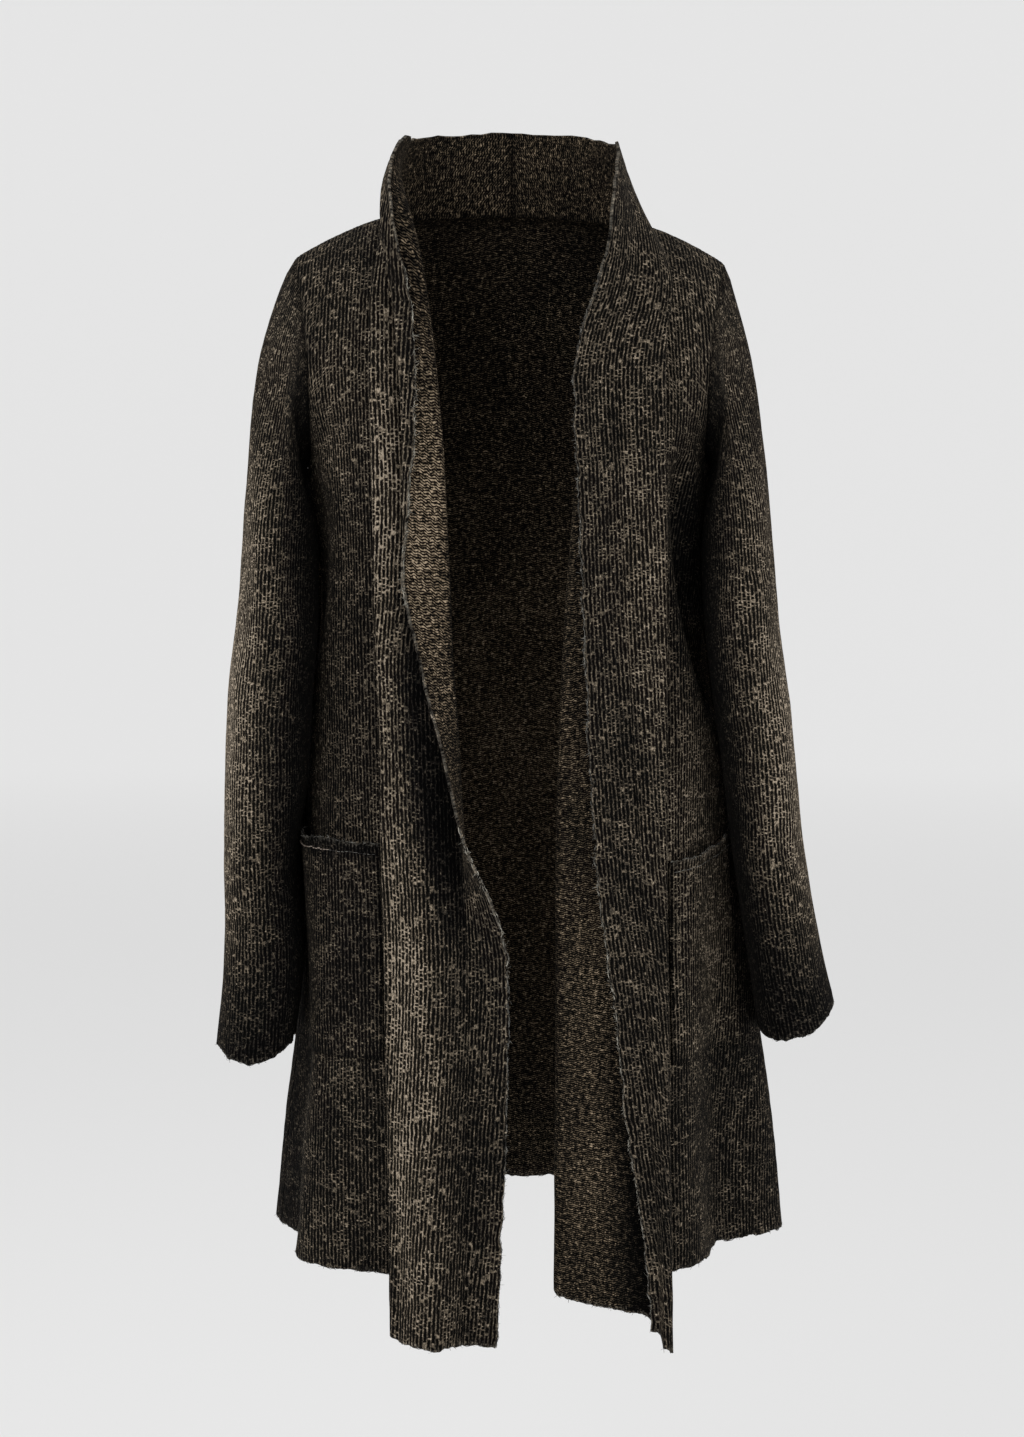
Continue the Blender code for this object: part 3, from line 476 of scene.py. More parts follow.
def plan_point(side, place, z, front):
    """The body below the underarm, on the section at height z."""
    half = read(SECTIONS, side, z)
    depth = read(SECTIONS, "front" if front else "back", z)
    power = 2.0 / read(SECTIONS, "roundness", z)
    if front:
        turn = np.arccos((seam_x(side, z) / half) ** (1.0 / power)) * place
        forward = -1.0
    else:
        turn = -place * math.pi / 2.0
        forward = 1.0
    across, along = np.maximum(np.cos(turn), 0.0), np.maximum(np.sin(turn), 0.0)
    normal = unit(stack(across ** (2.0 - power) / half, forward * along ** (2.0 - power) / depth, 0.0))
    lift = fold_depth(side, place, z)
    if front:
        lift = lift - hollow_depth(side, place, z)
    x = half * across ** power + normal[..., 0] * lift
    y = forward * depth * along ** power + normal[..., 1] * lift
    return stack(x * SIDES[side], y, z)


def seam_x(side, z):
    below = SHOULDERS[side].neck_z - z
    return read(BANDS[side], "edge", z) - COVER * ease(below / COVER_RUN)


def shoulder_z(side, x):
    cut = SHOULDERS[side]
    run = np.maximum(x - cut.neck, 0.0)
    return cut.neck_z - cut.slope * run - cut.sag * run ** 2


def armhole_x(side, rise):
    cut = SHOULDERS[side]
    start = read(SECTIONS, side, UNDERARM_Z)
    chest = mix(start, cut.armhole, ease(rise / ARMHOLE_RISE))
    return mix(chest, cut.tip, ease((rise - TIP_START) / (1.0 - TIP_START)))


def yoke_section(side, rise, front):
    start = read(SECTIONS, side, UNDERARM_Z)
    widest = mix(start, SHOULDERS[side].yoke, ease(rise / YOKE_RISE))
    depth = read(SECTIONS, "front" if front else "back", UNDERARM_Z)
    return widest, depth, 2.0 / read(SECTIONS, "roundness", UNDERARM_Z)


def yoke_rise(level, roundness):
    """Share of the yoke below a level, how far that climbs and how much depth is left."""
    rise = np.clip(level - 1.0, 0.0, 1.0)
    turn = rise * math.pi / 2.0
    climb = np.sin(turn) ** (2.0 / roundness)
    lean = np.maximum(np.cos(turn), 0.0) ** (2.0 / roundness)
    return rise, climb, lean


def section_angle(x, half, power):
    return np.arccos(np.clip(x / half, 0.0, 1.0) ** (1.0 / power))


def front_point(side, place, level):
    """A front. level runs 0 at the hem, 1 at the underarm, 2 at the shoulder seam."""
    place, level = np.broadcast_arrays(np.asarray(place, float), np.asarray(level, float))
    hem = mix(SIDE_HEM_Z, FRONT_HEM_Z, place)
    low = plan_point(side, place, mix(hem, UNDERARM_Z, np.minimum(level, 1.0)), True)
    rise, climb, lean = yoke_rise(level, FRONT_ROUNDNESS)
    hole = armhole_x(side, rise)
    seam = seam_x(side, mix(UNDERARM_Z, SHOULDERS[side].neck_z, climb))
    half, depth, power = yoke_section(side, rise, True)
    angle = mix(section_angle(hole, half, power), section_angle(seam, half, power), place)
    x = mix(half * np.cos(angle) ** power, mix(hole, seam, place), ease(rise))
    z = mix(UNDERARM_Z, shoulder_z(side, x), climb)
    y = -depth * np.sin(angle) ** power * lean + hollow_depth(side, place, z)
    return np.where((level <= 1.0)[..., None], low, stack(x * SIDES[side], y, z))


def neck_point(side, turn):
    cut = SHOULDERS[side]
    angle = turn * math.pi / 2.0
    rise = mix(cut.neck_z, NECK_RISE, ease(turn))
    return stack(cut.neck * np.cos(angle) * SIDES[side], NECK_BACK * np.sin(angle), rise)


def back_point(side, place, level):
    """One half of the back. place runs 0 at the side, -1 at the centre."""
    place, level = np.broadcast_arrays(np.asarray(place, float), np.asarray(level, float))
    hem = mix(SIDE_HEM_Z, BACK_HEM_Z, -place)
    low = plan_point(side, place, mix(hem, UNDERARM_Z, np.minimum(level, 1.0)), False)
    rise, climb, lean = yoke_rise(level, BACK_ROUNDNESS)
    neck_place = 1.0 - NECK_SHARE
    out = mix(SHOULDERS[side].tip, SHOULDERS[side].neck, np.minimum(-place / neck_place, 1.0))
    on_seam = stack(out * SIDES[side], 0.0, shoulder_z(side, out))
    on_neck = neck_point(side, np.clip((-place - neck_place) / NECK_SHARE, 0.0, 1.0))
    end = np.where((-place > neck_place)[..., None], on_neck, on_seam)
    half, depth, power = yoke_section(side, rise, False)
    angle = mix(section_angle(armhole_x(side, rise), half, power), math.pi / 2.0, -place)
    x = mix(half * np.maximum(np.cos(angle), 0.0) ** power, np.abs(end[..., 0]), ease(rise))
    y = mix(end[..., 1], depth * np.sin(angle) ** power, lean)
    high = stack(x * SIDES[side], y, mix(UNDERARM_Z, end[..., 2], climb))
    return np.where((level <= 1.0)[..., None], low, high)


def seam_frame(side, level):
    """Place, inward direction and outward direction where a band leaves its seam."""
    step, sign = 0.01, SIDES[side]
    front = np.minimum(level, 2.0)
    turn = np.clip(level - 2.0, 0.0, 1.0)
    angle = turn * math.pi / 2.0
    at_neck = level > 2.0
    here = np.where(at_neck[:, None], neck_point(side, turn), front_point(side, 1.0, front))
    along = front_point(side, 1.0, np.minimum(front + step, 2.0)) - front_point(
        side, 1.0, np.maximum(front - step, 0.0))
    across = front_point(side, 1.0, front) - front_point(side, 1.0 - 3.0 * step, front)
    out = unit(np.cross(along, across) * sign)
    neck = SHOULDERS[side].neck
    along_neck = stack(-neck * sign * np.sin(angle), NECK_BACK * np.cos(angle), 0.0)
    along = unit(np.where(at_neck[:, None], along_neck, along))
    along = np.where((level <= 1.0)[:, None], np.array([0.0, 0.0, 1.0]), along)
    ahead = np.array([0.0, -1.0, 0.0])
    out = mix(ahead, out, ease((level - 1.0) / SHOULDER_TURN)[:, None])
    out = np.where(at_neck[:, None], np.array([0.0, 0.0, 1.0]), out)
    into_neck = stack(-here[:, 0] / neck ** 2, -here[:, 1] / NECK_BACK ** 2, 0.0)
    inward = np.where(at_neck[:, None], into_neck, np.array([-sign, 0.0, 0.0]))
    dot = lambda a, b: np.sum(a * b, axis=-1, keepdims=True)
    inward = unit(inward - along * dot(inward, along))
    out = out - along * dot(out, along)
    out = unit(out - inward * dot(out, inward))
    return here, inward, out


def lean_angle(side, level, z):
    top, low = SHOULDERS[side].neck_z, LAPEL_TURNS[side]
    on_front = math.radians(COLLAR_LEAN_SIDE) * ease((z - low) / (top - low))
    at_neck = np.radians(mix(COLLAR_LEAN_SIDE, COLLAR_LEAN_BACK, ease(level - 2.0)))
    return np.where(level <= 2.0, on_front, at_neck)


def band_parts(side, z, level):
    """Length and bend of the nine parts of a band's section, a column for each level."""
    row = {name: read(BANDS[side], name, z) for name in Band._fields[1:]}
    fold = np.where(level < 2.0, math.pi * ease((SHOULDERS[side].neck_z - z) / OPEN_Z), 0.0)
    lower = row["reach"] - row["loop"]
    middle = lower - row["loop"] + COVER
    turn, curl = np.radians(row["turn"]), np.radians(row["curl"])
    roll_run = np.maximum(FLAP_ROLL * turn, LEAST_ROLL)
    curl_run = np.maximum(EDGE_ROLL * curl, LEAST_PART)
    loop, none = row["loop"] * math.pi, np.zeros_like(z)
    lengths = (lower, loop, middle, loop, row["strip"], roll_run,
               np.maximum(row["flap"] - roll_run, LEAST_PART), curl_run, row["margin"])
    bends = (none, fold, none, -fold, none, turn, none, -curl, none)
    return lengths, bends, row


def band_section(side, z, level, stations):
    """Points of the section, inwards and outwards from the seam, and how far along it."""
    lengths, bends, row = band_parts(side, z, level)
    shape = (len(z), len(stations))
    x, y, heading, gone = (np.zeros(shape) for _ in range(4))
    for i, (length, bend) in enumerate(zip(lengths, bends)):
        part = np.clip(stations - i, 0.0, 1.0)[None, :]
        run, half = length[:, None] * part, 0.5 * bend[:, None] * part
        chord = run * np.sinc(half / math.pi)
        x += chord * np.cos(heading + half)
        y += chord * np.sin(heading + half)
        heading += 2.0 * half
        gone += run
    on_strip = np.clip(stations - 4.0, 0.0, 1.0)[None, :]
    y += row["swell"][:, None] * np.sin(math.pi * on_strip)
    y -= row["dent"][:, None] * bell((on_strip - DENT_PLACE) / DENT_HALF)
    return x, y, gone


def hem_drop(side, stations):
    """How much lower than the front's hem a band's hem lies, along its section."""
    seam, inner, outer, free = BAND_HEMS[side]
    near, past = mix(inner, outer, HEM_NEAR), mix(outer, free, HEM_PAST)
    middle = mix(mix(inner, mix(inner, outer, HEM_MIDDLE), stations - 2.0), near,
                 ease((stations - 3.0 + TIP_RUN) / TIP_RUN))
    turned = np.sin(math.pi * np.clip(stations - 3.0, 0, 0.5))
    fold = np.where(stations < 3.5, mix(near, outer, turned),
                    mix(outer, past, np.clip((stations - 3.5) * 2.0, 0, 1)))
    strip = mix(past, free, np.clip((stations - 4.0) / 1.5, 0, 1))
    low = np.select([stations < 2.0, stations < 3.0, stations < 4.0],
                    [mix(seam, inner, stations / 2.0), middle, fold], strip)
    return low - FRONT_HEM_Z


def band_point(side, stations, levels):
    here, inward, out = seam_frame(side, levels)
    z = np.where(levels <= 2.0, here[:, 2], SHOULDERS[side].neck_z)
    run, lift, _ = band_section(side, z, levels, stations)
    lean = lean_angle(side, levels, here[:, 2])[:, None]
    first = inward * np.cos(lean) + out * np.sin(lean)
    second = out * np.cos(lean) - inward * np.sin(lean)
    points = here[:, None] + first[:, None] * run[..., None] + second[:, None] * lift[..., None]
    points[..., 2] += np.maximum(1.0 - levels, 0.0)[:, None] * hem_drop(side, stations)[None, :]
    return points


def sleeve_ring(side, z, turn):
    rows = SLEEVES[side]
    outer, inner = read(rows, "outer", z), read(rows, "inner", z)
    angle = turn * 2.0 * math.pi
    power = 2.0 / SLEEVE_ROUNDNESS
    across, along = -np.cos(angle), -np.sin(angle)
    x = 0.5 * (outer + inner) + 0.5 * (outer - inner) * np.sign(across) * np.abs(across) ** power
    y = read(rows, "middle", z) + read(rows, "half_depth", z) * np.sign(along) * np.abs(along) ** power
    return stack(x * SIDES[side], y, z)


def cuff_rise(side, turn):
    outside, front, inside = CUFF_RISES[side]
    angle = turn * 2.0 * math.pi
    level = 0.5 * (outside + inside)
    return level - 0.5 * (outside - inside) * np.cos(angle) + (
        front - level) * np.maximum(np.sin(angle), 0.0) ** 2


def sleeve_point(side, turns, levels):
    """A sleeve. level runs 0 at the armhole, 1 at the first ring, 2 at the cuff."""
    turn, level = turns[None, :], levels[:, None]
    top, cuff = SLEEVES[side][0].z, SLEEVES[side][-1].z
    below = sleeve_ring(side, mix(top, cuff, np.clip(level - 1.0, 0.0, 1.0)) + 0.0 * turn, turn)
    below[..., 2] += cuff_rise(side, turn) * np.maximum(level - 1.0, 0.0)
    hole_front = front_point(side, 0.0, 1.0 + 2.0 * np.minimum(turns, 0.5))
    hole_back = back_point(side, 0.0, 1.0 + 2.0 * np.minimum(1.0 - turns, 0.5))
    start = np.where((turns <= 0.5)[:, None], hole_front, hole_back)
    flat_top = np.full_like(turns, top)
    end = sleeve_ring(side, flat_top, turns)
    reach = np.linalg.norm(end - start, axis=-1, keepdims=True)
    out, down = HEAD_RUN[side]
    up = 0.5 - 0.5 * np.cos(turns * 2.0 * math.pi)
    gusset = (np.maximum(1.0 - up / 0.5, 0.0) ** GUSSET_POWER)[:, None]
    away = SIDES[side] * mix(UNDERARM_IN, out, up ** HEAD_POWER)
    leave = stack(away, 0.0, -mix(1.0, down, up)) * reach
    leave = mix(leave, np.array([SIDES[side] * GUSSET_RUN, 0.0, 0.0]), gusset)
    arrive = unit(sleeve_ring(side, flat_top - 0.01, turns) - end) * reach
    head = curve(start, leave, end, arrive, np.clip(levels, 0.0, 1.0)[:, None, None])
    return np.where((level >= 1.0)[..., None], below, head)


def pocket_point(side, places, levels):
    """The front's own surface under a pocket, and how far the pocket stands off it."""
    outer, inner, bottom = POCKETS[side]
    start = POCKET_SIDES[side] / FRONT_COLUMNS
    place, level = places[None, :], levels[:, None]
    span = (place - start) / (POCKET_INNER - start)
    z = mix(bottom, mix(outer, inner, span), level)
    hem = mix(SIDE_HEM_Z, FRONT_HEM_Z, place)
    low = (z - hem) / (UNDERARM_Z - hem)
    step = 0.004
    along = front_point(side, place, low + step) - front_point(side, place, low - step)
    across = front_point(side, place + step, low) - front_point(side, place - step, low)
    out = unit(np.cross(along, across) * SIDES[side])
    bow = POCKET_SLACK * ease(level / POCKET_SLACK_RUN) + POCKET_BOWS[side] * level ** 2
    lift = POCKET_CLEAR + bow * np.maximum(np.sin(math.pi * span), 0.0) ** POCKET_BOW_POWER
    return front_point(side, place, low) + out * lift[..., None]


def back_grid(places, levels):
    """place runs -1 at the right side seam, 0 at the centre, 1 at the left side seam."""
    place, level = places[None, :], levels[:, None]
    right = back_point("right", -(1.0 + np.minimum(place, 0.0)), level)
    left = back_point("left", -(1.0 - np.maximum(place, 0.0)), level)
    return np.where((place <= 0.0)[..., None], right, left)


# ---------------------------------------------------------------- the pieces

def spaced(count, power=1.0):
    return (np.arange(count + 1) / count) ** power


def body_levels():
    return np.concatenate([spaced(HEM_ROWS), 1.0 + spaced(YOKE_ROWS, YOKE_SPACING)[1:]])


def band_stations():
    return np.concatenate([[0.0]] + [i + spaced(n)[1:] for i, n in enumerate(BAND_COLUMNS)])


def back_places():
    neck_place = 1.0 - NECK_SHARE
    half = np.concatenate([neck_place * spaced(FRONT_COLUMNS),
                           mix(neck_place, 1.0, spaced(NECK_COLUMNS)[1:])])
    return np.concatenate([half - 1.0, (1.0 - half)[-2::-1]])


def sleeve_turns():
    lower = 0.5 * spaced(YOKE_ROWS, YOKE_SPACING)
    return np.concatenate([lower, 1.0 - lower[-2::-1]])


# edges names the first column, last column, first row and last row: seam or raw
Panel = namedtuple("Panel", "name form columns rows ring flip edges")
Laid = namedtuple("Laid", "middle normals distances")


def panels():
    levels = body_levels()
    yield Panel("back", back_grid, back_places(), levels, False, -1.0,
                ("seam", "seam", "raw", "seam"))
    for side, sign in SIDES.items():
        yield Panel("front_" + side, lambda p, l, s=side: front_point(s, p[None, :], l[:, None]),
                    spaced(FRONT_COLUMNS), levels, False, -sign, ("seam", "seam", "raw", "seam"))
        yield Panel("collar_" + side, lambda p, l, s=side: band_point(s, p, l),
                    band_stations(), np.concatenate([levels, 2.0 + spaced(NECK_COLUMNS)[1:]]),
                    False, -sign, ("seam", "raw", "raw", "seam"))
        yield Panel("sleeve_" + side, lambda p, l, s=side: sleeve_point(s, p, l),
                    sleeve_turns(),
                    np.concatenate([spaced(SLEEVE_HEAD_ROWS), 1.0 + spaced(SLEEVE_ROWS)[1:]]),
                    True, -sign, ("none", "none", "seam", "raw"))
        places = np.append(np.arange(POCKET_SIDES[side], FRONT_COLUMNS) / FRONT_COLUMNS, POCKET_INNER)
        yield Panel("pocket_" + side, lambda p, l, s=side: pocket_point(s, p, l),
                    places, spaced(POCKET_ROWS), False, -sign, ("seam", "seam", "seam", "raw"))


def grid_normals(points):
    """Normals of a grid of points, by the cells round each."""
    cell = np.cross(points[1:, 1:] - points[:-1, :-1], points[1:, :-1] - points[:-1, 1:])
    normals = np.zeros_like(points)
    for i in (slice(None, -1), slice(1, None)):
        for j in (slice(None, -1), slice(1, None)):
            normals[i, j] += cell
    return normals


def shared_normals(pieces):
    """Normals on the coarse grids, alike on both sides of every seam."""
    sums, keys = {}, {}
    for panel in pieces:
        points = panel.form(panel.columns, panel.rows)
        normals = grid_normals(points) * panel.flip
        place = [tuple(p) for p in np.round(points.reshape(-1, 3) * SEAM_MATCH).astype(int)]
        patch = panel.name.startswith("pocket")
        keys[panel.name] = [(patch, p) for p in place], points.shape
        for k, n in zip(keys[panel.name][0], normals.reshape(-1, 3)):
            sums[k] = sums.get(k, 0.0) + n
    return {name: unit(np.array([sums[k] for k in names])).reshape(shape)
            for name, (names, shape) in keys.items()}


def finer(points, values, step, axis):
    """Shares of the coarse grid's cells, so that a cell's parts are about step long."""
    spans = np.linalg.norm(np.diff(points, axis=axis), axis=-1).mean(axis=1 - axis)
    marks = [0.0]
    for i, span in enumerate(spans):
        count = max(int(round(span / step)), 1)
        marks += [i + (k + 1) / count for k in range(count)]
    marks = np.array(marks)
    return marks, np.interp(marks, np.arange(len(values)), values)


def between(grid, rows, columns):
    """A coarse grid's values at shares of its rows and columns."""
    i = np.minimum(rows.astype(int), grid.shape[0] - 2)
    j = np.minimum(columns.astype(int), grid.shape[1] - 2)
    up, over = (rows - i)[:, None, None], (columns - j)[None, :, None]
    low = mix(grid[i][:, j], grid[i][:, j + 1], over)
    high = mix(grid[i + 1][:, j], grid[i + 1][:, j + 1], over)
    return mix(low, high, up)


def run_along(points, axis):
    """Distance along the cloth from the grid's first row or column."""
    steps = np.linalg.norm(np.diff(points, axis=axis), axis=-1)
    start = np.zeros_like(np.take(steps, [0], axis=axis))
    return np.concatenate([start, np.cumsum(steps, axis=axis)], axis=axis)


def cloth_map(panel, columns, rows, points):
    """Metres across the ribs and along them, for every point of the sheet."""
    across, along = run_along(points, 1), run_along(points, 0)
    kind, _, side = panel.name.partition("_")
    if kind == "front" or kind == "pocket":
        across = across[:, -1:] - across
    elif kind == "back":
        centre = int(np.argmin(np.abs(columns)))
        across = across - across[:, centre:centre + 1]
    elif kind == "sleeve":
        middle = int(np.argmin(np.abs(columns - 0.5)))
        across = across - across[:, middle:middle + 1]
        level = int(np.argmin(np.abs(rows - 1.0)))
        along = along - along[level:level + 1]
    else:
        fold = int(np.argmin(np.abs(columns - 3.5)))
        here, _, _ = seam_frame(side, rows)
        z = np.where(rows <= 2.0, here[:, 2], SHOULDERS[side].neck_z)
        held = np.minimum(z, RIBS_FOLLOW_EDGE[side])
        stations = np.array([3.5, 9.0])
        gone = band_section(side, held, np.minimum(rows, 1.9), stations)[2]
        across = (gone[:, 1] - gone[:, 0])[:, None] + across[:, fold:fold + 1] - across
        along = np.broadcast_to(along[:, fold:fold + 1], across.shape).copy()
    wander = bumps(RIB_WANDER, across, along, WANDER_SEED)
    return across + wander, along / STRETCH.get(panel.name, 1.0)


def sprayed_and_shaded_tone(panel, columns, points):
    """How light the sprayed colour is, 0 to 1, painted shade and light included."""
    kind = panel.name.split("_")[0]
    tone = np.full(points.shape[:2], GROUND[kind])
    for tone_patch in SPRAYS_AND_PAINTED_SHADING[panel.name]:
        across = (columns[None, :] - tone_patch.across) / tone_patch.width
        along = (points[..., 2] - tone_patch.along) / tone_patch.length
        tone = tone + tone_patch.amount * np.exp(-across ** 2 - along ** 2)
    return np.clip(tone, *TONE_RANGE)


def creased(panel, points, normals):
    """Move the cloth in or out along its creases."""
    shift = np.zeros(points.shape[:2])
    for crease in CREASES.get(panel.name, ()):
        run = np.array([crease.to_x - crease.x, crease.to_z - crease.z])
        away = stack(points[..., 0] - crease.x, points[..., 2] - crease.z)
        share = (away @ run) / (run @ run)
        gap = np.linalg.norm(away - np.clip(share, 0, 1)[..., None] * run, axis=-1)
        faces = ease(normals[..., 1] * crease.face / CREASE_FACING)
        shift += crease.depth * bell(gap / crease.width) * faces
    return shift


def resting(panel, z, distances):
    """How far the cloth swells where a sleeve and the body touch, and how freely it hangs."""
    kind, _, side = panel.name.partition("_")
    beside = {"sleeve": (("sleeve", side, np.minimum(distances[0], distances[1])),),
              "front": (("body", side, distances[0]),),
              "back": (("body", "right", distances[0]), ("body", "left", distances[1]))}
    swell, free = np.zeros_like(z), np.ones_like(z)
    for piece, half, near in beside.get(kind, ()):
        free = np.minimum(free, ease(near / SMOOTH_HALF))
        for rest in RESTS[piece, half]:
            swell = swell + rest.swell * bell((z - rest.z) / rest.height) * bell(near / rest.half)
    return swell * ease((UNDERARM_Z + REST_TOP - z) / REST_RUN), free


def edge_distances(points):
    """Distance to the first column, last column, first row and last row."""
    across, along = run_along(points, 1), run_along(points, 0)
    return (across, across[:, -1:] - across, along, along[-1:] - along)


def nearest(panel, distances, kind):
    """Distance to the closest border of a kind, up to a metre."""
    found = [distance for border, distance in zip(panel.edges, distances) if border == kind]
    return np.minimum.reduce([np.ones_like(distances[0])] + found)


def make_sheet(panel, coarse_normals):
    """One piece of the garment as a wall with its ribs raised. Returns it and how it lies."""
    coarse = panel.form(panel.columns, panel.rows)
    column_marks, columns = finer(coarse, panel.columns, COLUMN_STEP, 1)
    row_marks, rows = finer(coarse, panel.rows, ROW_STEP, 0)
    points = panel.form(columns, rows)
    normals = unit(between(coarse_normals, row_marks, column_marks))
    across, along = cloth_map(panel, columns, rows, points)
    distances = edge_distances(points)
    seam, raw = nearest(panel, distances, "seam"), nearest(panel, distances, "raw")
    seed = sum(map(ord, panel.name))
    inside = ease((seam - SEAM_FLAT) / SEAM_FREE)
    layered = LAYERED_SHARE if panel.name.startswith("collar") else 1.0
    lumps = bumps(LUMPS, across, along, seed)
    swell, free = resting(panel, points[..., 2], distances)
    shift = (lumps * layered * free + creased(panel, points, normals)) * inside + swell
    loose = ease(seam / LOOSE_RUN)
    ruffle = bumps(RUFFLE, across, along, seed + 2) * np.exp(-(raw / RUFFLE_HALF) ** 2) * loose
    middle = points + normals * (shift + ruffle * layered)[..., None]
    move_raw_edges(panel, middle, distances, seed + 7, loose)
    ribs = 0.5 + 0.5 * np.cos(across * 2.0 * math.pi / RIB)
    relief = RIB_DEPTH * (ribs - 0.5) * (RIB_SHARE + bumps(RIB_CHANGE, across, along, seed + 3))
    relief += bumps(PILLS, across, along, seed + 4)
    relief -= SEAM_DEPTH * np.exp(-(seam / SEAM_HALF) ** 2)
    if panel.name.startswith("pocket"):
        relief -= FACING_DENT * np.exp(-((distances[3] - POCKET_FACING) / FACING_DENT_HALF) ** 2)
        relief += FACING_RISE * ease((POCKET_FACING - distances[3]) / FACING_RUN)
    outer = middle + normals * (WALL / 2.0 + relief)[..., None]
    inner = middle - normals * (WALL / 2.0)
    values = {"tone": sprayed_and_shaded_tone(panel, columns, points),
              "raw": np.exp(-(raw / RAW_HALF) ** 2),
              "seam": np.exp(-(seam / SEAM_SHADE_HALF) ** 2)}
    thing = wall(panel, outer, inner, middle, normals, (across, along), values)
    return thing, Laid(middle, normals, distances)


def move_raw_edges(panel, middle, distances, seed, loose):
    """Cut edges wander a little, in the plane of the cloth."""
    for number, (kind, distance) in enumerate(zip(panel.edges, distances)):
        if kind != "raw":
            continue
        axis = 1 if number < 2 else 0
        end, beside = (0, 1) if number in (0, 2) else (-1, -2)
        edge, next_in = np.take(middle, [end], axis=axis), np.take(middle, [beside], axis=axis)
        run = run_along(edge, 1 - axis)
        amount = bumps(EDGE_WANDER, run, 0.0 * run + number, seed)
        near = np.exp(-(distance / EDGE_HALF) ** 2)
        middle += unit(edge - next_in) * (amount * near * loose)[..., None]


def wall(panel, outer, inner, middle, normals, cloth, values):
    """A grid laid on the form, thickened, with its outer and inner points set."""
    height, width = outer.shape[:2]
    bpy.ops.object.select_all(action="DESELECT")
    bpy.ops.mesh.primitive_grid_add(x_subdivisions=width - 1, y_subdivisions=height - 1, size=1.0)
    thing = bpy.context.object
    thing.name = thing.data.name = panel.name + "_knit"
    mesh = thing.data
    flat = middle.reshape(-1, 3)
    mesh.vertices.foreach_set("co", flat.ravel())
    corners = np.empty(len(mesh.loops), int)
    mesh.loops.foreach_get("vertex_index", corners)
    for layer in list(mesh.uv_layers):
        mesh.uv_layers.remove(layer)
    layer = mesh.uv_layers.new(name="cloth")
    metres = np.stack([cloth[0].ravel(), cloth[1].ravel()], axis=-1)
    layer.data.foreach_set("uv", metres[corners].ravel())
    station = mesh.attributes.new("station", "INT", "POINT")
    station.data.foreach_set("value", np.arange(height * width, dtype=np.int32))
    if panel.flip < 0:
        mesh.flip_normals()
    if panel.ring:
        bpy.ops.object.mode_set(mode="EDIT")
        bpy.ops.mesh.select_all(action="SELECT")
        bpy.ops.mesh.remove_doubles(threshold=WELD)
        bpy.ops.object.mode_set(mode="OBJECT")
    solid = thing.modifiers.new("wall", "SOLIDIFY")
    solid.thickness, solid.offset = WALL, 0.0
    bpy.ops.object.modifier_apply(modifier=solid.name)
    count = len(mesh.vertices)
    where = np.empty(count, np.int32)
    mesh.attributes["station"].data.foreach_get("value", where)
    found = np.empty(count * 3)
    mesh.vertices.foreach_get("co", found)
    outside = np.sum((found.reshape(-1, 3) - flat[where]) * normals.reshape(-1, 3)[where], axis=1) > 0
    final = np.where(outside[:, None], outer.reshape(-1, 3)[where], inner.reshape(-1, 3)[where])
    mesh.vertices.foreach_set("co", final.ravel())
    mesh.attributes.remove(mesh.attributes["station"])
    on_points = {name: field.ravel()[where] for name, field in values.items()}
    on_points["wrong"] = np.where(outside, 0.0, 1.0)
    for name, field in on_points.items():
        attribute = mesh.attributes.new(name, "FLOAT", "POINT")
        attribute.data.foreach_set("value", np.ascontiguousarray(field, dtype=np.float32))
    mesh.update()
    mesh.shade_smooth()
    return thing


# ---------------------------------------------------------------- frayed yarn

# edge as in Panel.edges, threads to a metre, start and end as heights
Fray = namedtuple("Fray", "piece edge threads length yarn start end", defaults=(0.0, -1.0))
THREAD_POINTS = 6        # along each yarn end, strand or stitch
YARN_SEED = 7
ROOT_SPREAD = 0.0012     # yarn ends leave the wall this deep in it
END_SLANT = 70           # degrees that they lean along the edge, at most
END_LIFT = (-0.35, 0.45)   # and off the cloth
END_LENGTHS = (0.35, 1.5)  # shares of the row's length
END_BENDS = (0.2, 1.3)
END_CURL_OUT = (-0.8, 0.1)
END_WIDTHS = (0.00012, 0.00028)
END_TIP = 0.45           # share of the width at the tip
STRAND_LIFT = 0.35 * WALL
STRAND_LENGTHS = (0.003, 0.013)
STRAND_LEAST = 0.004
STRAND_GAP = 0.009
STRAND_WAVES = (0.004, 0.009)
STRAND_SWING = 0.0004
STRAND_REACH = (-0.0003, 0.0006)
STRAND_WIDTHS = (0.00018, 0.00042)
STITCH_ARCH = 0.0007
STITCH_LIFT = 0.0002
STITCH_SHIFT = 0.0004
STITCH_LENGTHS = (0.62, 0.95)   # shares of the step
STITCH_WOBBLE = 0.0006
YARNS = {                # dull and bright
    "cream": ((0.045, 0.040, 0.033), (0.56, 0.53, 0.45)),
    "grey": ((0.030, 0.029, 0.027), (0.30, 0.29, 0.26)),
    "dark": ((0.006, 0.006, 0.006), (0.085, 0.070, 0.055)),
    "pale": ((0.160, 0.120, 0.095), (0.46, 0.38, 0.32)),
}
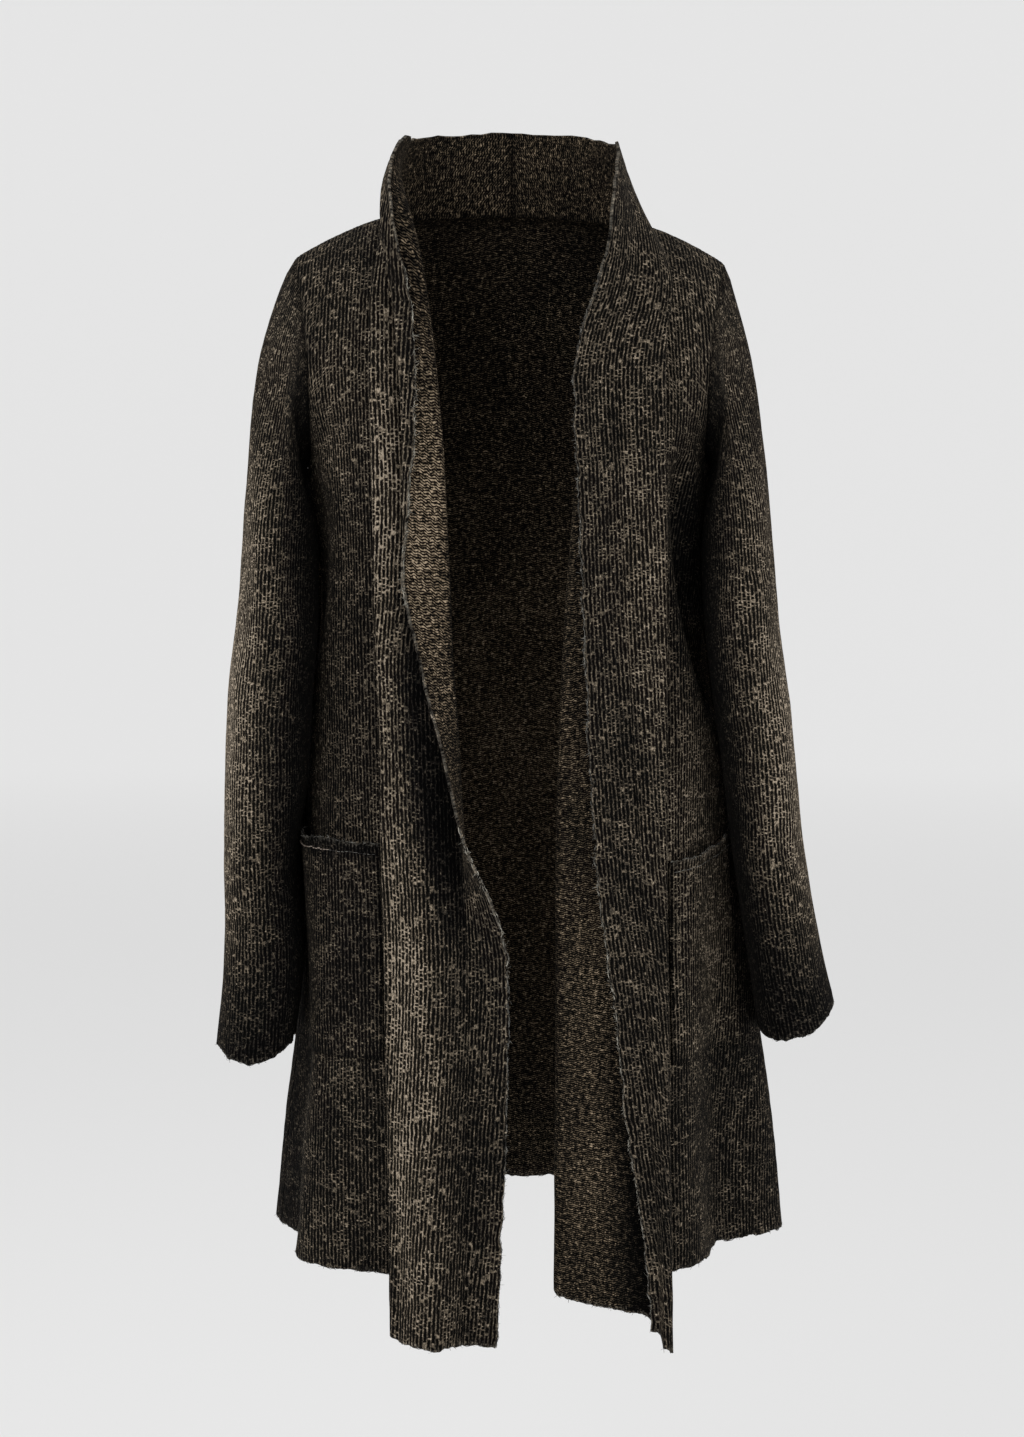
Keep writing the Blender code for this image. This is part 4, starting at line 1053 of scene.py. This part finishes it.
FRAYS = (
    Fray("collar_right", 1, 900, 0.0050, "cream", -0.060, -0.340),
    Fray("collar_right", 1, 560, 0.0036, "dark", -0.340, -0.520),
    Fray("collar_right", 1, 760, 0.0042, "cream", -0.520, -0.640),
    Fray("collar_right", 1, 620, 0.0040, "grey", -0.640, -0.980),
    Fray("collar_left", 1, 700, 0.0042, "grey", -0.060, -0.560),
    Fray("collar_left", 1, 820, 0.0044, "cream", -0.560, -0.860),
    Fray("collar_left", 1, 620, 0.0040, "grey", -0.860, -0.980),
    *(Fray(name, 2, 520, 0.0040, "dark") for name in ("collar_right", "collar_left")),
    *(Fray(name, 2, 520, 0.0035, "dark") for name in ("front_right", "front_left", "back")),
    *(Fray(name, 3, 620, 0.0035, "dark") for name in ("sleeve_right", "sleeve_left")),
    *(Fray(name, 3, 900, 0.0034, "grey") for name in ("pocket_right", "pocket_left")),
)
# start and end are shares of the pocket's width
Stitch = namedtuple("Stitch", "piece start end step width yarn")
STITCHES = (
    Stitch("pocket_right", 0.03, 0.17, 0.0042, 0.00022, "grey"),
    Stitch("pocket_right", 0.17, 0.64, 0.0036, 0.00050, "pale"),
    Stitch("pocket_right", 0.64, 0.97, 0.0042, 0.00022, "grey"),
    Stitch("pocket_left", 0.03, 0.97, 0.0042, 0.00022, "grey"),
)


def edge_line(form, edge):
    """A border's points, its way out of the cloth, along itself and off the surface."""
    middle, normals = form.middle, form.normals
    if edge < 2:
        middle, normals = np.swapaxes(middle, 0, 1), np.swapaxes(normals, 0, 1)
    end, beside = (0, 1) if edge in (0, 2) else (-1, -2)
    line = middle[end]
    return line, unit(line - middle[beside]), unit(np.gradient(line, axis=0)), normals[end]


def line_run(line):
    """Distance along a line of points."""
    return np.concatenate([[0.0], np.cumsum(np.linalg.norm(np.diff(line, axis=0), axis=1))])


def at_marks(marks, run, field):
    """Vectors given along a line, read at marks."""
    return stack(*[np.interp(marks, run, field[:, k]) for k in range(3)])


def fray(row, form, random):
    """Loose yarn ends and loops along one raw edge, as points of thin tubes."""
    line, *ways = edge_line(form, row.edge)
    run = line_run(line)
    marks = random.uniform(0.0, run[-1], int(run[-1] * row.threads))
    root = at_marks(marks, run, line)
    out, along, off = (unit(at_marks(marks, run, way)) for way in ways)
    keep = (root[:, 2] <= row.start) & (root[:, 2] >= row.end)
    root, out, along, off = root[keep], out[keep], along[keep], off[keep]
    count = len(root)
    deal = lambda low, high: random.uniform(low, high, (count, 1))
    root = root + off * deal(-ROOT_SPREAD, ROOT_SPREAD) - out * ROOT_SPREAD
    slant = np.radians(deal(-END_SLANT, END_SLANT))
    way = out * np.cos(slant) + along * np.sin(slant) + off * deal(*END_LIFT)
    curl = unit(along * deal(-1, 1) + off * deal(-1, 1) + out * deal(*END_CURL_OUT))
    length = row.length * deal(*END_LENGTHS) ** 1.5
    steps = np.linspace(0.0, 1.0, THREAD_POINTS)[None, :, None]
    bend = deal(*END_BENDS)[:, None]
    path = root[:, None] + unit(way)[:, None] * length[:, None] * steps * (1.0 - 0.45 * bend * steps)
    path = path + curl[:, None] * length[:, None] * bend * 0.55 * steps ** 2
    thin = np.linspace(1.0, END_TIP, THREAD_POINTS)[None, :, None]
    return path, deal(*END_WIDTHS)[:, None] * thin


def strands(row, form, random):
    """Two broken strands of yarn that wind along a raw edge, as points of thin tubes."""
    line, out, _, off = edge_line(form, row.edge)
    run = line_run(line)
    steps = np.linspace(0.0, 1.0, THREAD_POINTS)
    blunt = (1.0 - 0.6 * np.abs(2.0 * steps - 1.0) ** 3)[None, :, None]
    paths, widths = [], []
    for lift in (-STRAND_LIFT, STRAND_LIFT):
        starts, lengths = [], []
        place = 0.0
        while place < run[-1] - STRAND_LEAST:
            length = random.uniform(*STRAND_LENGTHS)
            starts.append(place)
            lengths.append(min(length, run[-1] - place))
            place += length + random.uniform(0.0, STRAND_GAP)
        marks = np.array(starts)[:, None] + np.array(lengths)[:, None] * steps
        root = at_marks(marks, run, line)
        way, rise = unit(at_marks(marks, run, out)), unit(at_marks(marks, run, off))
        keep = (root[:, 0, 2] <= row.start) & (root[:, 0, 2] >= row.end)
        deal = lambda low, high: random.uniform(low, high, (len(marks), 1))
        phase = deal(0.0, 2.0 * math.pi)
        wave = marks * (2.0 * math.pi / deal(*STRAND_WAVES)) + phase
        reach = deal(*STRAND_REACH) + STRAND_SWING * np.sin(wave)
        path = root + way * reach[..., None] + rise * (lift + STRAND_SWING * np.cos(wave))[..., None]
        paths.append(path[keep])
        widths.append((deal(*STRAND_WIDTHS)[..., None] * blunt)[keep])
    return np.concatenate(paths), np.concatenate(widths)


def stitches(row, form, random):
    """A row of sewing below a pocket's mouth, as points of thin tubes."""
    below = form.distances[3][::-1]
    columns = range(below.shape[1])
    take = lambda field: stack(*[[np.interp(POCKET_FACING, below[:, j], field[::-1, j, k])
                                  for j in columns] for k in range(3)])
    line, off = take(form.middle), unit(take(form.normals))
    run = line_run(line)
    starts = np.arange(row.start, row.end, row.step / run[-1])[:, None] * run[-1]
    starts = starts + random.uniform(-STITCH_SHIFT, STITCH_SHIFT, starts.shape)
    steps = np.linspace(0.0, 1.0, THREAD_POINTS)
    marks = starts + row.step * random.uniform(*STITCH_LENGTHS, starts.shape) * steps
    arch = (WALL / 2.0 + STITCH_ARCH * np.sin(math.pi * steps) + STITCH_LIFT)[None, :, None]
    wobble = random.uniform(-STITCH_WOBBLE, STITCH_WOBBLE, (len(marks), 1, 1))
    path = (at_marks(marks, run, line) + at_marks(marks, run, off) * arch
            + np.array([0.0, 0.0, 1.0]) * wobble)
    return path, np.full((len(marks), THREAD_POINTS, 1), row.width)


def tubes(name, paths, widths):
    """Many thin three-sided tubes as one mesh."""
    path, width = np.concatenate(paths), np.concatenate(widths)
    count, steps = path.shape[:2]
    along = unit(np.gradient(path, axis=1))
    side = unit(np.cross(along, np.array([0.31, 0.22, 0.93])))
    other = np.cross(along, side)
    turns = [k * 2.0 * math.pi / 3.0 for k in range(3)]
    rings = [path + (side * math.cos(turn) + other * math.sin(turn)) * width for turn in turns]
    points = np.stack(rings, axis=2).reshape(-1, 3)
    base = (np.arange(count) * steps * 3)[:, None]
    quads = []
    for ring in range(0, (steps - 1) * 3, 3):
        for k in range(3):
            m = (k + 1) % 3
            quads.append(base + np.array([ring + k, ring + m, ring + 3 + m, ring + 3 + k]))
    caps = [base + np.array([2, 1, 0]), base + (steps - 1) * 3 + np.array([0, 1, 2])]
    faces = np.concatenate(quads).tolist() + np.concatenate(caps).tolist()
    mesh = bpy.data.meshes.new(name)
    mesh.from_pydata(points.tolist(), [], faces)
    mesh.update()
    mesh.shade_smooth()
    thing = bpy.data.objects.new(name, mesh)
    bpy.context.scene.collection.objects.link(thing)
    return thing


# ---------------------------------------------------------------- finishes

class Field:
    """A value in a material. Arithmetic on it adds Math nodes."""

    def __init__(self, nodes, socket):
        self.nodes, self.socket = nodes, socket

    def math(self, operation, *others):
        return self.nodes.add("ShaderNodeMath", {"operation": operation},
                              dict(enumerate((self, *others))))

    def __add__(self, other):
        return self.math("ADD", other)

    def __sub__(self, other):
        return self.math("SUBTRACT", other)

    def __mul__(self, other):
        return self.math("MULTIPLY", other)

    def __truediv__(self, other):
        return self.math("DIVIDE", other)

    def __rsub__(self, other):
        return (self * -1.0) + other

    __radd__, __rmul__ = __add__, __mul__

    def cosine(self):
        return self.math("COSINE")

    def to(self, low, high):
        """0 below low and 1 above high, with soft ends."""
        return self.nodes.add("ShaderNodeMapRange", {"interpolation_type": "SMOOTHSTEP"},
                              {"Value": self, "From Min": low, "From Max": high})


class Nodes:
    """A material's node tree."""

    def __init__(self, name):
        self.material = bpy.data.materials.new(name)
        self.material.use_nodes = True
        self.tree = self.material.node_tree
        self.shader = self.tree.nodes["Principled BSDF"]

    def add(self, kind, settings=None, inputs=None, output=0):
        node = self.tree.nodes.new(kind)
        for name, value in (settings or {}).items():
            setattr(node, name, value)
        for name, value in (inputs or {}).items():
            self.plug(node.inputs[name], value)
        return Field(self, node.outputs[output])

    def plug(self, socket, value):
        if isinstance(value, Field):
            self.tree.links.new(value.socket, socket)
        elif isinstance(value, tuple) and len(value) == 3 and socket.type == "RGBA":
            socket.default_value = (*value, 1.0)
        else:
            socket.default_value = value

    def stops(self, value, *stops):
        """A colour ramp through stops of (place, colour)."""
        field = self.add("ShaderNodeValToRGB", {}, {"Fac": value})
        ramp = field.socket.node.color_ramp
        while len(ramp.elements) < len(stops):
            ramp.elements.new(1.0)
        for element, (place, colour) in zip(ramp.elements, stops):
            element.position, element.color = place, (*colour, 1.0)
        return field

    def blend(self, share, first, second, how="MIX"):
        return self.add("ShaderNodeMix", {"data_type": "RGBA", "blend_type": how},
                        {0: share, 6: first, 7: second}, 2)

    def attribute(self, name):
        return self.add("ShaderNodeAttribute", {"attribute_name": name}, {}, "Fac")

    def uneven(self, across, along, spots, seed):
        """Noise over the cloth, with the size that a row of SPOTS gives it."""
        place = self.add("ShaderNodeCombineXYZ", {},
                         {0: across / spots.wide, 1: along / spots.long, 2: seed + spots.seed})
        return self.add("ShaderNodeTexNoise", {}, {"Vector": place, "Scale": 1.0,
                                                   "Detail": spots.detail, "Roughness": 0.6}, "Fac")

    def finish(self, values):
        """Set the shader's sockets that are the same all over."""
        for name, value in values.items():
            self.shader.inputs[name].default_value = value


GROOVE = (0.0016, 0.0016, 0.0017)
SPRAYED = (               # from bare black to warm beige
    (0.00, (0.0020, 0.0020, 0.0021)),
    (0.25, (0.0095, 0.0089, 0.0082)),
    (0.50, (0.0420, 0.0350, 0.0270)),
    (0.75, (0.1450, 0.1170, 0.0830)),
    (1.00, (0.4000, 0.3300, 0.2500)),
)
CREAM = (0.40, 0.37, 0.31)
# how cream a raw edge is, and how much the wrong side's rows slope
COLLAR_LOOK, PLAIN_LOOK = (0.18, 0.30), (0.10, 0.0)
WARMER = (1.0, 0.94, 0.86)   # the wrong side's tint
LOOK_SEED_STEP = 4.0     # each kind of piece has its own noise
KNIT_FINISH = {"Roughness": 0.95, "Specular IOR Level": 0.01, "Sheen Weight": 0.010,
               "Sheen Roughness": 0.60, "Sheen Tint": (0.80, 0.76, 0.70, 1.0)}
YARN_FINISH = {"Roughness": 0.9, "Sheen Weight": 0.03, "Specular IOR Level": 0.10}
# unevenness in the knit's colour: size across and along the ribs, finer detail, and seed
Spots = namedtuple("Spots", "wide long detail seed")
SPOTS = {
    "patch": Spots(0.013, 0.017, 2.0, 0.0),
    "blot": Spots(0.050, 0.075, 2.0, 9.0),
    "lumps": Spots(0.0019, 0.0058, 1.0, 3.0),
    "grain": Spots(0.0011, 0.0014, 2.0, 5.0),
    "swerve": Spots(0.0060, 0.0060, 1.0, 7.0),
    "waver": Spots(0.0060, 0.0050, 1.0, 15.0),
    "flecks": Spots(0.0026, 0.0011, 1.0, 17.0),
    "clumps": Spots(0.0046, 0.0024, 1.0, 19.0),
}
# along one groove, so that each groove has its own
EYELET_SHIFT = Spots(0.01, 0.008, 1.0, 11.0)
LADDER = Spots(0.01, 0.0060, 1.0, 13.0)
EYELET_STEP, LADDER_STEP = 0.0531, 0.0731   # from one groove's noise to the next
# right side: ribs that swerve, with rough grooves that eyelets or ladders bridge. The pairs are
# where a part starts and is full, on the noise or the wave that makes it.
SWERVE, ROUGH, EYELET_DRIFT = 0.60, 0.42, 3.0
GROOVE_SIDES = (0.37, 0.29)
NETTED, NETTED_LUMPS = (0.50, 0.60), 0.20
EYELETS = (0.50, 0.85)
LADDERS, LADDER_ROUGH = (0.60, 0.66), 0.3
# wrong side: rows that wave from rib to rib and wander, sunk between broken tops
ROW_WAVE, ROW_WANDER = 0.00055, 0.0022
FLECKED, CLUMPED, SUNK = 1.6, 1.7, (0.30, 0.52)
# how much each part lightens or darkens the sprayed colour
Felt = namedtuple("Felt", "patch blot lumps grain")
FELT = Felt(0.26, 0.34, 1.10, 1.20)
BRIDGE_LIGHT, RIGHT_LIGHT = 0.10, 0.15
CLUMP_LIGHT, WRONG_LIGHT = 0.9, 0.12
GROOVE_DARK, SEAM_DARK = 0.97, 0.45
RAW_ROUGH, RAW_START, RAW_EDGE = 1.9, 0.42, (0.30, 0.75)
BUMP_STRENGTH, BUMP_DEPTH = 0.80, 0.0007
BUMP_GROOVES, BUMP_GRAIN, BUMP_LUMPS = 0.80, 0.40, 0.30
YARN_SPOTS = 160.0       # to a metre


def knit(name, seed, cream, slope):
    """Felted rib knit: broken black grooves on the right side, wavy rows on the wrong side."""
    nodes = Nodes(name)
    place = nodes.add("ShaderNodeUVMap", {"uv_map": "cloth"})
    across, along = (nodes.add("ShaderNodeSeparateXYZ", {}, {0: place}, axis) for axis in (0, 1))
    tone, wrong, raw, seam = (nodes.attribute(value) for value in ("tone", "wrong", "raw", "seam"))
    patch, blot, lumps, grain, swerve, waver, flecks, clumps = (
        nodes.uneven(across, along, spots, seed) for spots in SPOTS.values())

    ribs = across / RIB + (swerve - 0.5) * SWERVE
    column = ribs.math("FLOOR")
    rough = (grain - 0.5) * ROUGH
    groove = ((ribs - column - 0.5).math("ABSOLUTE") + rough * 0.5).to(*GROOVE_SIDES)
    shifted = nodes.uneven(column * EYELET_STEP, along, EYELET_SHIFT, seed) * EYELET_DRIFT
    eyelets = along / EYELET + column * 0.5 + shifted
    netted = (patch + (lumps - 0.5) * NETTED_LUMPS).to(*NETTED)
    netting = ((eyelets * (2.0 * math.pi)).cosine() + rough).to(*EYELETS)
    ladder = nodes.uneven(column * LADDER_STEP, along, LADDER, seed)
    ladder = (ladder + rough * LADDER_ROUGH).to(*LADDERS)
    bridge = netted * netting + (1.0 - netted) * ladder
    hollow = groove * (1.0 - bridge)

    waves = (across * (math.pi / RIB)).cosine() * ROW_WAVE
    rows = (along + across * slope + waves + waver * ROW_WANDER) * (2.0 * math.pi / COURSE)
    rows = rows.cosine() * 0.5 + 0.5
    sunk = (rows + (0.5 - flecks) * FLECKED + (0.5 - clumps) * CLUMPED).to(*SUNK)

    back_side = wrong.to(0.4, 0.6)
    dark = hollow * (1.0 - back_side) + sunk * back_side
    felt = ((patch - 0.5) * FELT.patch + (blot - 0.5) * FELT.blot
            + (lumps - 0.5) * FELT.lumps + (grain - 0.5) * FELT.grain)
    on_top = ((bridge * BRIDGE_LIGHT + RIGHT_LIGHT) * (1.0 - back_side)
              + back_side * ((clumps - 0.5) * CLUMP_LIGHT + WRONG_LIGHT))
    colour = nodes.stops(tone + felt + on_top, *SPRAYED)
    colour = nodes.blend(dark * GROOVE_DARK, colour, GROOVE)
    colour = nodes.blend(back_side, colour, WARMER, "MULTIPLY")
    frayed = raw + (grain - 0.5) * RAW_ROUGH + (lumps - 0.5) * RAW_ROUGH - RAW_START
    colour = nodes.blend(frayed.to(*RAW_EDGE) * cream, colour, CREAM)
    colour = nodes.blend(seam * SEAM_DARK, colour, GROOVE)
    height = (1.0 - dark) * BUMP_GROOVES + grain * BUMP_GRAIN + lumps * BUMP_LUMPS
    bump = nodes.add("ShaderNodeBump", {}, {"Strength": BUMP_STRENGTH, "Distance": BUMP_DEPTH,
                                            "Height": height})
    nodes.plug(nodes.shader.inputs["Base Color"], colour)
    nodes.plug(nodes.shader.inputs["Normal"], bump)
    nodes.finish(KNIT_FINISH)
    return nodes.material


def yarn(name, dull, bright):
    """Loose yarn, uneven in colour from thread to thread."""
    nodes = Nodes(name)
    place = nodes.add("ShaderNodeTexCoord", {}, {}, "Object")
    spots = nodes.add("ShaderNodeTexNoise", {},
                      {"Vector": place, "Scale": YARN_SPOTS, "Detail": 2.0}, "Fac")
    nodes.plug(nodes.shader.inputs["Base Color"], nodes.stops(spots, (0.35, dull), (0.65, bright)))
    nodes.finish(YARN_FINISH)
    return nodes.material


# ---------------------------------------------------------------- studio

FLOOR_Z = -1.44
FLOOR_HALF, SWEEP_SIDES, SWEEP_RADIUS, SWEEP_STEPS = 4.6, 96, 2.6, 16
WALL_RISE = 4.0          # above the curve
PAPER = (0.36, 0.36, 0.36)
PAPER_SHADE = tuple(0.985 * part for part in PAPER)
PAPER_SPOTS = 0.6        # to a metre
GLOW_RISE = 3.0          # the paper's own light grows over the lowest part of this height
PAPER_GLOW = tuple((share, (glow, glow, glow)) for share, glow in
                   ((0.0, 0.47), (0.03, 0.53), (1.0, 0.53)))
WORLD_GREY, WORLD_STRENGTH = (0.80, 0.80, 0.80, 1.0), 0.55
SENSOR = 36.0
EYE = (0.0, -2.40, -0.216)
EYE_TILT = 5.31          # degrees below level
LENS = 68.29
Lamp = namedtuple("Lamp", "name place aim width height power")
LAMPS = (
    Lamp("key_softbox", (-1.5, -2.7, 1.5), (0.0, 0.0, -0.45), 1.6, 1.6, 34.0),
    Lamp("fill_softbox", (2.1, -2.3, 0.7), (0.0, 0.0, -0.50), 1.6, 2.0, 16.0),
    Lamp("top_softbox", (0.0, 0.2, 2.0), (0.0, 0.0, -0.30), 2.2, 2.2, 22.0),
    Lamp("left_softbox", (-2.6, 0.5, 0.6), (0.0, 0.0, -0.40), 1.6, 1.8, 11.0),
    Lamp("right_softbox", (2.6, 0.5, 0.6), (0.0, 0.0, -0.40), 1.6, 1.8, 9.0),
)


def studio_sweep():
    """Pale round floor that curves up into a high wall on all sides."""
    nodes = Nodes("pale_paper")
    place = nodes.add("ShaderNodeTexCoord", {}, {}, "Object")
    cloudy = nodes.add("ShaderNodeTexNoise", {},
                       {"Vector": place, "Scale": PAPER_SPOTS, "Detail": 1.0}, "Fac")
    nodes.plug(nodes.shader.inputs["Base Color"],
               nodes.stops(cloudy, (0.3, PAPER), (0.7, PAPER_SHADE)))
    height = nodes.add("ShaderNodeSeparateXYZ", {}, {0: place}, 2)
    nodes.plug(nodes.shader.inputs["Emission Color"],
               nodes.stops(height.to(FLOOR_Z, FLOOR_Z + GLOW_RISE), *PAPER_GLOW))
    nodes.finish({"Roughness": 1.0, "Specular IOR Level": 0.0, "Emission Strength": 1.0})
    bpy.ops.object.select_all(action="DESELECT")
    bpy.ops.mesh.primitive_circle_add(vertices=SWEEP_SIDES, radius=FLOOR_HALF, fill_type="NGON",
                                      location=(0.0, 0.0, FLOOR_Z))
    sweep = bpy.context.object
    sweep.name = "studio_sweep"
    bpy.ops.object.mode_set(mode="EDIT")
    bpy.ops.mesh.select_mode(type="EDGE")
    bpy.ops.mesh.select_all(action="SELECT")
    bpy.ops.mesh.region_to_loop()
    turns = np.linspace(0.0, math.pi / 2.0, SWEEP_STEPS + 1)
    reach = FLOOR_HALF + SWEEP_RADIUS * np.sin(turns)
    high = SWEEP_RADIUS * (1.0 - np.cos(turns))
    for step in range(SWEEP_STEPS):
        bpy.ops.mesh.extrude_edges_move(
            TRANSFORM_OT_translate={"value": (0.0, 0.0, high[step + 1] - high[step])})
        wider = reach[step + 1] / reach[step]
        bpy.ops.transform.resize(value=(wider, wider, 1.0))
    bpy.ops.mesh.extrude_edges_move(TRANSFORM_OT_translate={"value": (0.0, 0.0, WALL_RISE)})
    bpy.ops.object.mode_set(mode="OBJECT")
    bpy.ops.object.transform_apply(location=True, rotation=True, scale=True)
    sweep.data.shade_smooth()
    sweep.data.materials.append(nodes.material)


def light_studio():
    """World, softboxes and camera."""
    scene = bpy.context.scene
    scene.view_settings.view_transform = "Standard"
    world = bpy.data.worlds.new("studio")
    world.use_nodes = True
    background = world.node_tree.nodes["Background"]
    background.inputs["Color"].default_value = WORLD_GREY
    background.inputs["Strength"].default_value = WORLD_STRENGTH
    scene.world = world
    for lamp in LAMPS:
        light = bpy.data.lights.new(lamp.name, "AREA")
        light.shape = "RECTANGLE"
        light.size, light.size_y, light.energy = lamp.width, lamp.height, lamp.power
        thing = bpy.data.objects.new(lamp.name, light)
        thing.location = lamp.place
        aim = np.array(lamp.aim) - np.array(lamp.place)
        thing.rotation_euler = (math.atan2(np.hypot(aim[0], aim[1]), -aim[2]), 0.0,
                                math.atan2(aim[1], aim[0]) - math.pi / 2.0)
        thing.visible_camera = False
        scene.collection.objects.link(thing)
    camera = bpy.data.cameras.new("eye")
    camera.lens, camera.sensor_width = LENS, SENSOR
    thing = bpy.data.objects.new("eye", camera)
    thing.location = EYE
    thing.rotation_euler = (math.pi / 2.0 - math.radians(EYE_TILT), 0.0, 0.0)
    scene.collection.objects.link(thing)
    scene.camera = thing


# ---------------------------------------------------------------- cuts, as laid flat

Cut = namedtuple("Cut", "width length area hangs_from")
CUTS = {
    "back": Cut(0.560, 0.935, 0.446, ("front_right_knit", "front_left_knit")),
    "front_right": Cut(0.165, 0.935, 0.125, ("back_knit",)),
    "front_left": Cut(0.160, 0.935, 0.111, ("back_knit",)),
    "collar_right": Cut(0.290, 1.150, 0.239, ("front_right_knit", "back_knit")),
    "collar_left": Cut(0.285, 1.150, 0.233, ("front_left_knit", "back_knit")),
    "sleeve_right": Cut(0.420, 0.640, 0.193, ("front_right_knit", "back_knit")),
    "sleeve_left": Cut(0.420, 0.620, 0.183, ("front_left_knit", "back_knit")),
    "pocket_right": Cut(0.145, 0.190, 0.026, ("front_right_knit",)),
    "pocket_left": Cut(0.110, 0.190, 0.019, ("front_left_knit",)),
}


def main():
    pieces = list(panels())
    normals = shared_normals(pieces)
    sheets, forms, threads = {}, {}, {}
    looks = {kind: knit(kind + "_knit", LOOK_SEED_STEP * i,
                        *(COLLAR_LOOK if kind == "collar" else PLAIN_LOOK))
             for i, kind in enumerate(GROUND)}
    for panel in pieces:
        sheet, forms[panel.name] = make_sheet(panel, normals[panel.name])
        kind = panel.name.split("_")[0]
        sheet.data.materials.append(looks[kind])
        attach(sheet, "root")
        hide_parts(panel.name)
        kind + "_knit"
        sheets[panel.name] = sheet
    random = np.random.default_rng(YARN_SEED)
    yarns = {kind: yarn(kind + "_yarn", dull, bright) for kind, (dull, bright) in YARNS.items()}
    loose = [(row, make) for row in FRAYS for make in (fray, strands)]
    for row, make in loose + [(row, stitches) for row in STITCHES]:
        threads.setdefault((row.piece, row.yarn), []).append(make(row, forms[row.piece], random))
    fringes = {name: [] for name in CUTS}
    for (piece, kind), made in threads.items():
        thing = tubes(piece + "_" + kind + "_yarn", *zip(*made))
        thing.data.materials.append(yarns[kind])
        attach(thing, "root")
        piece.split("_")[0] + "_knit"
        fringes[piece].append(thing)
    for name, cut in CUTS.items():
        list(cut.hangs_from)
        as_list(fringes[name])
    studio_sweep()
    light_studio()


main()
